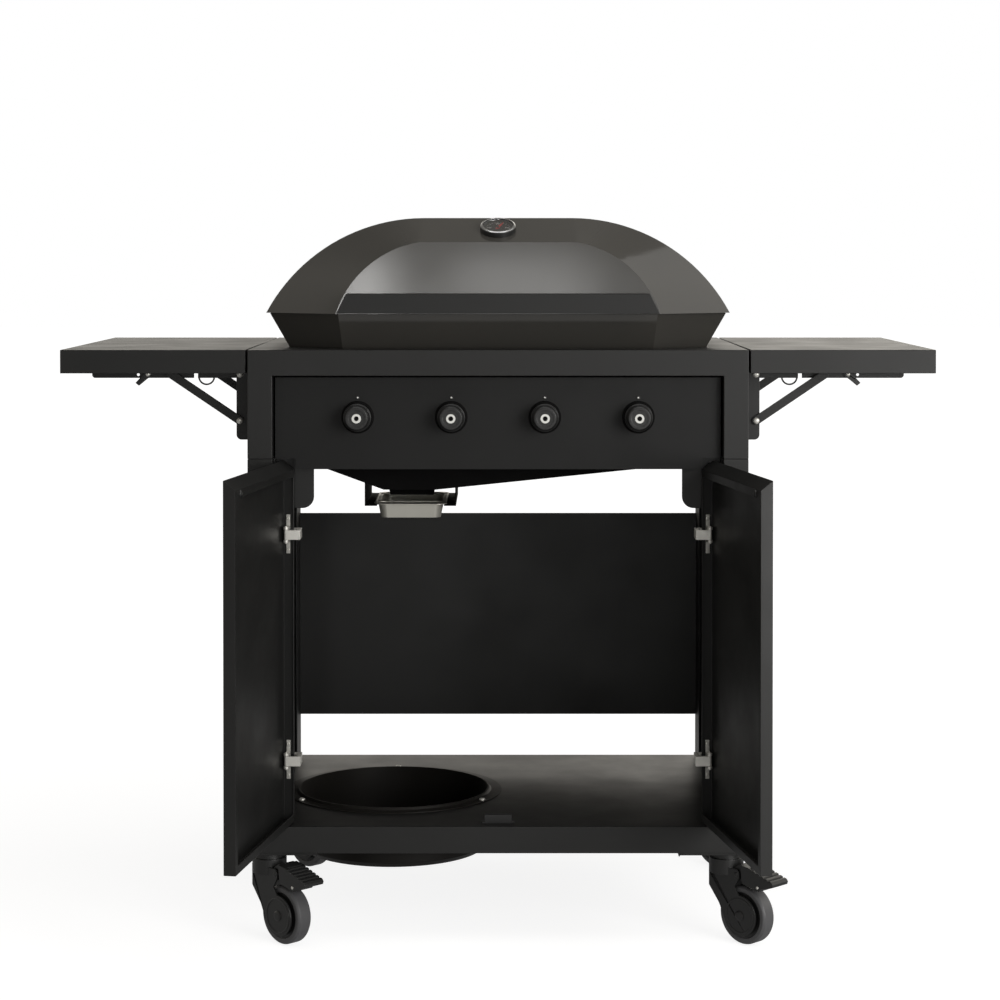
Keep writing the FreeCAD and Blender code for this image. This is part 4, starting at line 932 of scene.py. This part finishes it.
@dataclass
class Controls:
    """Knobs, their bezels, the printed marks and the valves behind the panel."""

    knob: Edge = Edge(0.7)
    bezel: Edge = Edge(0.5)
    valve: Edge = Edge(0.6)
    face_reach: float = 19.0
    ring: Outline = ((3.7, -0.3), (7.1, -0.3), (7.1, 0.3), (3.7, 0.3), (3.7, -0.3))
    dot: Outline = ((3.6, -0.3), (3.6, 0.1), (3.2, 0.2), (0.5, 0.2))
    panel_setback: float = 18.0
    stud_rise: float = 30.0
    seat: Outline = ((1.4, -0.5), (3.0, -0.5), (2.8, 0.5), (1.7, 0.7), (1.4, 0.3), (1.4, -0.5))
    stud: Outline = ((1.35, -0.4), (1.35, 0.5), (1.0, 0.9), (0.3, 1.0))

    def build(self) -> None:
        """Form the knobs and the valves, print the knobs and set the studs."""
        for number in KNOBS:
            fit_formed(f"knob_{number}", self.knob)
            self.print_knob(number)
        # The bezels' flat black is painted shade, for the shadowed gap round each knob.
        fit_formed("knob_bezels", self.bezel, Surface.HEAT_PAINT)
        fit_formed("gas_valves", self.valve)
        fit_formed("gas_manifold", self.valve)
        self.set_studs()

    def print_knob(self, number: int) -> None:
        """Print a white ring round a black dot on the face of one knob.

        Args:
            number: The knob's number, from the left.
        """
        x, _, z = middle_of(f"knob_{number}")
        ring = turned("ring", self.ring, sides=40, hollow=True)
        dot = turned("dot", self.dot, sides=32)
        for piece, name, slot, surface in (
            (ring, "mark", "needle_paint", Surface.INK), (dot, "dot", "black_plastic", Surface.HEAT_PAINT),
        ):
            settle_facing(piece, (x, FRONT_Y - self.face_reach, z), (0, -1, 0))
            piece.name = f"knob_{name}_{number}"
            fit(piece, f"knob_{number}", slot, surface)

    def set_studs(self) -> None:
        """Set a small pale stud in a dark seat above each knob."""
        places = []
        for number in KNOBS:
            x, _, z = middle_of(f"knob_{number}")
            places.append(((x, FRONT_Y + self.panel_setback, z + self.stud_rise), (0, -1, 0)))
        seat = turned("seat", self.seat, sides=28, hollow=True)
        stud = turned("stud", self.stud, sides=20)
        fit(spread("mark_seats", seat, places), "cart", "black_plastic")
        fit(spread("mark_studs", stud, places), "cart", "needle_paint", Surface.INK)


@dataclass
class Doors:
    """The two cabinet doors, hung open, and their hinges."""

    hinge: Edge = Edge(0.5)
    pan: Edge = Edge(0.8)
    axis_x: float = 325.0
    axis_setback: float = 9.0
    open_angle: float = 99.3
    half_thick: float = 9.0
    bumper_at: Pair = (296.5, 718.5)
    bumper: Outline = (
        (5.4, -0.4), (5.4, 1.2), (4.8, 2.2), (3.4, 2.7), (1.8, 2.8), (1.4, 2.2), (0.4, 2.0))
    hinge_z: Pair = (278.0, 626.0)
    leaf_face: float = -13.5
    leaf_screw: Pair = (2.4, 1.3)
    leaf_screw_rise: float = 24.0
    wing_x: float = 343.0
    wing_setback: float = 57.0
    wing_screw: Pair = (3.4, 1.8)
    wing_screw_rise: float = 13.0

    def place(self, sign: int, along: float, across: float, z: float) -> Point:
        """Return where a point of an open door stands, measured from its hinge axis as heading says."""
        x, y, _ = self.heading(sign, along, across)
        return (sign * self.axis_x + x, FRONT_Y + self.axis_setback + y, z)

    def heading(self, sign: int, along: float, across: float) -> Point:
        """Turn a step on an open door into the shared frame.

        Args:
            sign: -1 for the left door, 1 for the right one.
            along: How far towards the free edge, in millimetres.
            across: How far from the door's middle plane towards its inner face.

        Returns:
            The step as a vector.
        """
        angle = math.radians(self.open_angle)
        x = along * math.cos(angle) + across * math.sin(angle)
        return (-sign * x, across * math.cos(angle) - along * math.sin(angle), 0)

    def build(self) -> None:
        """Form the door pans and the hinges, then add bumpers and hinge screws."""
        fit_formed("hinge_arms", self.hinge)
        wing_screws = []
        for side, sign in SIDES:
            fit_formed(f"{side}_door", self.pan)
            fit_formed(f"{side}_hinge_leaves", self.hinge)
            self.add_bumper(side, sign)
            leaf_screws = []
            for z in self.hinge_z:
                for end in (-1, 1):
                    leaf_z, wing_z = z + end * self.leaf_screw_rise, z + end * self.wing_screw_rise
                    leaf_at = self.place(sign, self.leaf_face, 0, leaf_z)
                    leaf_screws.append((leaf_at, self.heading(sign, 1, 0)))
                    wing_at = (sign * self.wing_x, FRONT_Y + self.wing_setback, wing_z)
                    wing_screws.append((wing_at, (-sign, 0, 0)))
            heads = spread(f"{side}_leaf_screws", pan_head(*self.leaf_screw), leaf_screws)
            fit(heads, f"{side}_door", "zinc_plate")
        fit(spread("hinge_wing_screws", pan_head(*self.wing_screw), wing_screws), "cart", "zinc_plate")

    def add_bumper(self, side: str, sign: int) -> None:
        """Press a soft bumper into the inner lip, near the free top corner.

        Args:
            side: The door's side.
            sign: -1 for the left door, 1 for the right one.
        """
        along, z = self.bumper_at
        button = turned("button", self.bumper, sides=32)
        settle_facing(button, self.place(sign, along, self.half_thick, z), self.heading(sign, 0, 1))
        button.name = f"{side}_door_bumper"
        fit(button, f"{side}_door", "black_plastic")


@dataclass
class SideTables:
    """The two folding tables with their arms, struts and levers."""

    pan: Edge = Edge(0.9, steps=1, clamp=True)
    strap: Edge = Edge(0.5)
    arm: Edge = Edge(0.15)
    axis_x: float = 402.0
    axis_z: float = 869.0
    axis_rivet: Pair = (5.2, 2.4)
    axis_rivet_back: Pair = (4.6, 2.2)
    axis_back_depth: float = 6.8
    web_setback: float = 75.0
    strut_pivot_z: float = 797.0
    strut_rivet: Pair = (5.0, 2.4)
    strut_depth: float = -5.3
    lever_reach: float = 143.6
    lever_rivet: Pair = (3.4, 1.4)
    lever_depth: float = 1.1
    hole_reach: float = 159.0
    hole_drop: float = 0.8
    hole_radius: float = 2.3
    drill_length: float = 12.0
    # Which way the lever's end and underside face, and how far each is drawn out, along X and Z.
    blade: tuple[tuple[Pair, Pair], ...] = (
        ((0.625, -0.781), (1.5, -5.0)), ((-0.635, -0.773), (-3.0, -2.5)))

    def build(self) -> None:
        """Form the table pans and the folding gear, drill the arms and rivet the pivots."""
        for side, sign in SIDES:
            fit_formed(f"{side}_table", self.pan)
            fit_formed(f"{side}_struts", self.strap)
            self.draw_lever(side, sign)
            self.drill_arms(side, sign)
            self.rivet_lever(side, sign)
        self.rivet_brackets()

    def both_ends(self, x: float, depth: float, z: float, towards: int) -> list[Place]:
        """Return one place on the front bracket plane and its mirror image at the back.

        Args:
            x: Place along X in millimetres.
            depth: Distance behind the front web's face.
            z: Height.
            towards: -1 to face the front, 1 to face the back.

        Returns:
            The two places with the directions they face.
        """
        y = FRONT_Y + self.web_setback + depth
        return [((x, y, z), (0, towards, 0)), ((x, 2 * MIDDLE_Y - y, z), (0, -towards, 0))]

    def drill_arms(self, side: str, sign: int) -> None:
        """Replace the arms with a formed copy that has a round hole near each lever.

        Args:
            side: The table's side.
            sign: -1 for the left table, 1 for the right one.
        """
        node = f"{side}_table_arms"
        x = sign * (self.axis_x + self.hole_reach)
        drills = []
        for at, towards in self.both_ends(x, 0, self.axis_z - self.hole_drop, 1):
            rings = [(self.hole_radius, 0), (self.hole_radius, self.drill_length)]
            drill = turned("drill", rings, sides=20)
            settle_facing(drill, at, towards)
            drills.append(drill)
        fit_for(formed(node, self.arm, drills), node)

    def draw_lever(self, side: str, sign: int) -> None:
        """Replace the levers with a formed copy drawn down to a broad blade, for a thumb to press.

        Args:
            side: The table's side.
            sign: -1 for the left table, 1 for the right one.
        """
        node = f"{side}_release_levers"
        levers = merged(node)
        for (across, down), (reach, drop) in self.blade:
            facing = Vector((sign * across, 0, down))
            shape_faces(levers, lambda centre, normal: normal.dot(facing) > SAME_WAY,
                        bpy.ops.transform.translate, value=(sign * reach * MM, 0, drop * MM))
        round_edges(levers, self.strap)
        fit_for(levers, node)

    def rivet_lever(self, side: str, sign: int) -> None:
        """Rivet each release lever to its arm.

        Args:
            side: The table's side.
            sign: -1 for the left table, 1 for the right one.
        """
        x = sign * (self.axis_x + self.lever_reach)
        places = self.both_ends(x, self.lever_depth, self.axis_z, -1)
        heads = spread(f"{side}_lever_rivets", rivet_head(*self.lever_rivet), places)
        fit(heads, f"{side}_table", "zinc_plate")

    def rivet_brackets(self) -> None:
        """Head the pins of the table axes and of the struts."""
        axis, back, strut = [], [], []
        for _, sign in SIDES:
            x = sign * self.axis_x
            axis += self.both_ends(x, 0, self.axis_z, -1)
            back += self.both_ends(x, self.axis_back_depth, self.axis_z, 1)
            strut += self.both_ends(x, self.strut_depth, self.strut_pivot_z, -1)
        heads = [
            spread("axis_rivets", rivet_head(*self.axis_rivet), axis),
            spread("axis_rivets_back", rivet_head(*self.axis_rivet_back), back),
            spread("strut_rivets", rivet_head(*self.strut_rivet), strut),
        ]
        fit(joined("bracket_rivets", heads), "cart", "zinc_plate")


@dataclass
class GreaseGear:
    """The hopper and its drip tray."""

    hopper: Edge = Edge(0.5)
    tray: Edge = Edge(0.5, sharper_than=25)
    skirt: Edge = Edge(0.4)
    outlet: Point = (78.0, 64.0, 19.0)
    outlet_top_z: float = 683.2
    outlet_taper: Pair = (0.9, 0.86)
    outlet_sheet: float = 1.5
    corner: float = 19.0
    bead: float = 1.3
    bead_drop: float = 0.1
    bead_sides: int = 12
    corner_steps: int = 8

    def build(self) -> None:
        """Form the hopper and the tray, hang the outlet and roll the tray's rim."""
        # The hopper's flat black is painted shade, for the shadow deep in the cabinet.
        fit_formed("grease_hopper", self.hopper, Surface.HEAT_PAINT)
        fit_formed("drip_tray", self.tray)
        self.hang_outlet()
        self.roll_rim()

    def hang_outlet(self) -> None:
        """Hang an open, tapered outlet of folded sheet under the hopper's drain, over the tray."""
        tray_x = middle_of("drip_tray").x
        middle_z = self.outlet_top_z - self.outlet[2] / 2
        skirt = block("hopper_outlet", self.outlet, (tray_x, MIDDLE_Y, middle_z))
        shape_faces(skirt, lambda centre, normal: normal.z < -FACING,
                    bpy.ops.transform.resize, value=(*self.outlet_taper, 1))
        shape_faces(skirt, lambda centre, normal: abs(normal.z) > FACING, bpy.ops.mesh.delete, type="FACE")
        apply_modifier(skirt, "SOLIDIFY", {"thickness": self.outlet_sheet * MM, "offset": -1.0})
        round_edges(skirt, self.skirt)
        fit(skirt, "cart", "cart_powder_coat", Surface.HEAT_PAINT)

    def roll_rim(self) -> None:
        """Run a round bead along the edge of the tray's rim."""
        low, high = (Vector(corner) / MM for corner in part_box("drip_tray"))
        half_x, half_y = (high[i] / 2 - low[i] / 2 - self.bead for i in (0, 1))
        corner = self.corner - self.bead
        run_x, run_y = 2 * (half_x - corner), 2 * (half_y - corner)
        start_clean()
        bpy.ops.mesh.primitive_circle_add(
            vertices=self.bead_sides, radius=self.bead * MM, fill_type="NOTHING",
            location=(half_x * MM, -run_y / 2 * MM, 0), rotation=(math.radians(90), 0, 0))
        bead = bpy.context.object
        bead.name = "tray_rolled_rim"
        bpy.ops.object.transform_apply(location=True, rotation=True)
        bpy.ops.object.mode_set(mode="EDIT")
        bpy.ops.mesh.select_all(action="SELECT")
        for run, centre in (
            ((0, run_y, 0), (run_x / 2, run_y / 2)), ((-run_x, 0, 0), (-run_x / 2, run_y / 2)),
            ((0, -run_y, 0), (-run_x / 2, -run_y / 2)), ((run_x, 0, 0), (run_x / 2, -run_y / 2)),
        ):
            bpy.ops.mesh.extrude_region_move(TRANSFORM_OT_translate={"value": Vector(run) * MM})
            bpy.ops.mesh.spin(
                steps=self.corner_steps, angle=math.radians(90),
                center=Vector((*centre, 0)) * MM, axis=(0, 0, 1))
        bpy.ops.object.mode_set(mode="OBJECT")
        face_out(bead)
        shade(bead, sharper_than=60)
        settle_at(bead, (middle_of("drip_tray").x, MIDDLE_Y, high.z - self.bead_drop))
        fit(bead, "drip_tray", "stainless")


@dataclass
class Casters:
    """Four swivel casters, the front two with brake pedals."""

    fork: Edge = Edge(0.7)
    wheel: Edge = Edge(0.9, sharper_than=25)
    pedal: Edge = Edge(0.8)
    pivot: Pair = (353.0, 32.0)
    trail: float = 41.0
    cheek: float = 18.5
    ring: Outline = (
        (24.2, -0.4), (27.6, -0.4), (27.4, 0.5), (26.8, 0.9), (25.0, 0.9), (24.4, 0.5), (24.2, -0.4))
    cap: Outline = ((8.2, -0.4), (8.0, 1.0), (6.6, 2.0), (4.6, 2.4), (2.0, 2.4), (0.8, 2.3))
    hub_face: float = 10.0
    disc: Outline = (
        (12.2, -0.3), (34.0, -0.3), (33.6, 0.6), (26.0, 0.9), (16.0, 0.9), (12.2, 0.4), (12.2, -0.3))
    pedal_pin: Pair = (34.0, 106.9)
    pin_head: Pair = (3.6, 1.2)
    pedal_stud: Pair = (76.0, 94.0)
    stud_out: float = 18.8
    stud_head: Pair = (2.4, 1.0)

    def build(self) -> None:
        """Form the forks, wheels and pedals, then add hub rings, axle caps and pin heads."""
        x, setback = self.pivot
        for row, y in (("front", FRONT_Y + setback), ("rear", BACK_Y - setback)):
            for side, sign in SIDES:
                place = f"{row}_{side}"
                root = (sign * x, y)
                fit_formed(f"{place}_caster_fork", self.fork)
                fit_formed(f"{place}_wheel", self.wheel)
                self.cap_hubs(place, root)
                if row == "front":
                    fit_formed(f"{place}_brake_pedal", self.pedal)
                    self.head_pedal(place, root)

    def stand(self, root: Pair, along: float, across: float, z: float) -> Point:
        """Return where a point of a caster stands, trailing towards the front right."""
        x, y, _ = self.heading(along, across)
        return (root[0] + x, root[1] + y, z)

    def heading(self, along: float, across: float) -> Point:
        """Return the direction along the trail and across the cheeks as a vector of the shared frame."""
        part = math.sqrt(0.5)
        return ((along + across) * part, (across - along) * part, 0)

    def two_cheeks(self, root: Pair, along: float, out: float, z: float) -> list[Place]:
        """Return a place on each side of a caster, facing outwards."""
        return [(self.stand(root, along, sign * out, z), self.heading(0, sign)) for sign in (-1, 1)]

    def cap_hubs(self, place: str, root: Pair) -> None:
        """Press a ring and an axle cap on each cheek, and a disc into each side of the wheel.

        Args:
            place: Which caster it is.
            root: Where its king pin stands along X and Y.
        """
        axle_z = middle_of(f"{place}_wheel").z
        outside = self.two_cheeks(root, self.trail, self.cheek, axle_z)
        trim = [
            spread(f"{place}_cheek_rings", turned("ring", self.ring, sides=56, hollow=True), outside),
            spread(f"{place}_axle_caps", turned("cap", self.cap, sides=36), outside),
        ]
        fit(joined(f"{place}_cheek_trim", trim), f"{place}_caster", "black_plastic")
        inside = self.two_cheeks(root, self.trail, self.hub_face, axle_z)
        discs = spread(f"{place}_hub_discs", turned("disc", self.disc, sides=48, hollow=True), inside)
        fit(discs, f"{place}_wheel", "black_plastic")

    def head_pedal(self, place: str, root: Pair) -> None:
        """Rivet the ends of a brake pedal's pin, and set a bright stud in each side of the pedal.

        Args:
            place: Which caster it is.
            root: Where its king pin stands along X and Y.
        """
        along, z = self.pedal_pin
        ends = self.two_cheeks(root, along, self.cheek, z)
        heads = spread(f"{place}_pedal_pin_heads", rivet_head(*self.pin_head), ends)
        fit(heads, f"{place}_caster", "black_plastic")
        along, z = self.pedal_stud
        sides = self.two_cheeks(root, along, self.stud_out, z)
        studs = spread(f"{place}_pedal_studs", rivet_head(*self.stud_head), sides)
        fit(studs, f"{place}_brake", "zinc_plate")


# Studio

@dataclass(frozen=True)
class Softbox:
    """A rectangular studio lamp: its place, aim and size in metres, its power and its tint."""

    title: str
    at: Point
    aim: Point
    size: Pair
    watts: float
    tint: str = "#fffefc"

    def hang(self) -> None:
        """Hang the lamp."""
        start_clean()
        bpy.ops.object.light_add(type="AREA", location=self.at)
        lamp = bpy.context.object
        lamp.name = self.title
        lamp.data.shape = "RECTANGLE"
        lamp.data.size, lamp.data.size_y = self.size
        lamp.data.energy = self.watts
        lamp.data.color = linear(self.tint)[:3]
        lamp.visible_camera = False
        lamp.rotation_euler = (Vector(self.aim) - Vector(self.at)).to_track_quat("-Z", "Y").to_euler()


@dataclass
class Studio:
    """Plain white room, soft lamps and the camera."""

    # The camera looks down by the pitch and sees as far as the last value, in metres.
    eye: Point = (0.0, -3864.4, 1061.0)
    pitch: float = 0.97
    lens: float = 88.468
    sensor: float = 36.0
    shift: Pair = (0.002, -0.2074)
    farthest: float = 200.0
    lamps: tuple[Softbox, ...] = (
        Softbox("softbox_right", (2.5, -3.0, 1.35), (0.1, 0.1, 0.75), (1.6, 2.2), 76.0),
        Softbox("softbox_front", (2.0, -4.2, 1.0), (0.1, 0.1, 0.75), (1.2, 1.6), 26.0),
        Softbox("softbox_high", (2.6, -0.7, 2.5), (0.1, 0.0, 0.95), (3.2, 3.0), 22.0),
        Softbox("softbox_top", (0.0, -0.6, 3.4), (0.0, 0.1, 0.9), (2.6, 2.0), 30.0),
        Softbox("strip_left", (-0.5, -4.6, 0.8), (-0.25, 0.0, 0.95), (0.24, 0.5), 4.7),
        Softbox("strip_middle", (0.08, -4.6, 0.8), (0.05, 0.0, 0.95), (0.5, 0.5), 3.5),
        Softbox("strip_right", (0.55, -4.6, 0.8), (0.25, 0.0, 0.95), (0.3, 0.5), 0.6),
    )
    # The floor's side is in metres.
    paper: str = "#9a9a9a"
    floor_side: float = 60.0
    floor_drop: float = 0.5
    # How white the floor looks to the camera: at the wheels and far off, at these distances in metres.
    floor_white: Pair = (0.86, 1.0)
    floor_reach: Pair = (0.8, 4.0)
    floor_in_gloss: float = 0.22
    fill: float = 0.25
    fill_tint: str = "#fffaf0"
    # What gloss sees of the room. Each brightness runs between two levels while the heading runs
    # between two values, along an axis or outwards to either side; a level may be an earlier brightness.
    room: tuple[tuple[str, str, Pair, tuple[float | str, float]], ...] = (
        ("side", "X", (-0.15, 0.15), (1.7, 2.7)),
        ("rise", "Z", (0.06, 0.22), (0.15, 1.0)),
        ("fall", "Z", (0.35, 0.6), (1.0, 0.12)),
        ("lift", "Z", (0.25, 0.4), (0.03, 1.0)),
        ("gap", "outward", (0.03, 0.1), ("lift", 1.0)),
        ("front", "outward", (0.35, 0.8), (0.09, 0.5)),
    )
    front_to_back: Pair = (0.1, 0.6)

    def build(self) -> None:
        """Set the floor, the lamps, the world and the camera."""
        self.lay_floor()
        for lamp in self.lamps:
            lamp.hang()
        self.light_world()
        self.set_camera()
        bpy.context.scene.view_settings.view_transform = "Standard"

    def lay_floor(self) -> None:
        """Lay a wide pale floor, a shade under white at the wheels to the camera and dim to gloss."""
        start_clean()
        bpy.ops.mesh.primitive_plane_add(size=self.floor_side, location=(0, 0, -self.floor_drop * MM))
        floor = bpy.context.object
        floor.name = "studio_floor"
        bpy.ops.object.transform_apply(location=True)
        paper = bpy.data.materials.new("studio_paper_white")
        paper.use_nodes = True
        tree = paper.node_tree
        tree.nodes.clear()
        path = add_node(tree, "LightPath")
        gloss = add_node(tree, "Math", {"operation": "MULTIPLY"}, {
            0: path.outputs["Is Glossy Ray"], 1: self.floor_in_gloss})
        reach = add_node(tree, "VectorMath", {"operation": "LENGTH"}, {
            0: add_node(tree, "TexCoord").outputs["Object"]})
        (near, far), (low, high) = self.floor_reach, self.floor_white
        white = add_node(tree, "MapRange", {"interpolation_type": "SMOOTHSTEP"}, {
            "Value": reach.outputs["Value"], "From Min": near, "From Max": far,
            "To Min": low, "To Max": high})
        glow = add_node(tree, "Math", {"operation": "MULTIPLY_ADD"}, {
            0: path.outputs["Is Camera Ray"], 1: white.outputs["Result"], 2: gloss.outputs[0]})
        shader = add_node(tree, "BsdfPrincipled", inputs={
            "Base Color": linear(self.paper), "Roughness": 0.9, "Specular IOR Level": 0.0,
            "Emission Color": linear("#ffffff"), "Emission Strength": glow.outputs[0]})
        add_node(tree, "OutputMaterial", inputs={"Surface": shader.outputs["BSDF"]})
        floor.data.materials.append(paper)

    def room_in_gloss(self, tree: Tree) -> Socket:
        """Make the room that gloss sees: a dim front, and a pale back that fades upwards.

        Args:
            tree: The world's node tree.

        Returns:
            The room's brightness.
        """
        heading = add_node(tree, "SeparateXYZ", inputs={
            0: add_node(tree, "TexCoord").outputs["Generated"]})
        outward = add_node(tree, "Math", {"operation": "ABSOLUTE"}, {0: heading.outputs["X"]})
        along = {"X": heading.outputs["X"], "Z": heading.outputs["Z"], "outward": outward.outputs[0]}
        level: dict[str, Socket] = {}
        for name, axis, (start, end), (low, high) in self.room:
            ramp = add_node(tree, "MapRange", inputs={
                "Value": along[axis], "From Min": start, "From Max": end,
                "To Min": level[low] if isinstance(low, str) else low, "To Max": high})
            level[name] = ramp.outputs["Result"]
        back = level["side"]
        for name in ("rise", "fall", "gap"):
            product = add_node(tree, "Math", {"operation": "MULTIPLY"}, {0: back, 1: level[name]})
            back = product.outputs[0]
        start, end = self.front_to_back
        whole = add_node(tree, "MapRange", inputs={
            "Value": heading.outputs["Y"], "From Min": start, "From Max": end,
            "To Min": level["front"], "To Max": back})
        return whole.outputs["Result"]

    def light_world(self) -> None:
        """Show white to the camera, the room to gloss and glass, and a soft fill to the rest."""
        world = bpy.data.worlds.new("studio_room")
        bpy.context.scene.world = world
        world.use_nodes = True
        tree = world.node_tree
        tree.nodes.clear()
        path = add_node(tree, "LightPath")
        clear = add_node(tree, "Math", {"operation": "MAXIMUM"}, {
            0: path.outputs["Is Glossy Ray"], 1: path.outputs["Is Transmission Ray"]})
        fill = add_node(tree, "Mix", {"data_type": "FLOAT"}, {
            0: clear.outputs[0], 2: self.fill, 3: self.room_in_gloss(tree)})
        level = add_node(tree, "Mix", {"data_type": "FLOAT"}, {
            0: path.outputs["Is Camera Ray"], 2: fill.outputs[0], 3: 1.0})
        tint = add_node(tree, "Mix", {"data_type": "RGBA"}, {
            0: path.outputs["Is Camera Ray"], 6: linear(self.fill_tint), 7: linear("#ffffff")})
        room = add_node(tree, "Background", inputs={
            "Color": tint.outputs[2], "Strength": level.outputs[0]})
        add_node(tree, "OutputWorld", inputs={"Surface": room.outputs["Background"]})

    def set_camera(self) -> None:
        """Stand the camera where the photograph was taken from."""
        start_clean()
        bpy.ops.object.camera_add(
            location=Vector(self.eye) * MM, rotation=(math.radians(90 - self.pitch), 0, 0))
        camera = bpy.context.object
        camera.name = "photo_camera"
        camera.data.lens = self.lens
        camera.data.sensor_width = self.sensor
        camera.data.shift_x, camera.data.shift_y = self.shift
        camera.data.clip_end = self.farthest
        bpy.context.scene.camera = camera


def main() -> None:
    """Dress the frame, then set the studio."""
    logging.basicConfig(level=logging.INFO, format="%(name)s: %(message)s")
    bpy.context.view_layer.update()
    for name, node in frame["nodes"].items():
        coat(node, SLOT_SURFACE[NODE_SLOT[name]])
    for assembly in (Cart(), Cooking(), Lid(), Controls(), Doors(), SideTables(), GreaseGear(), Casters()):
        assembly.build()
    Studio().build()


if __name__ == "__main__":
    main()
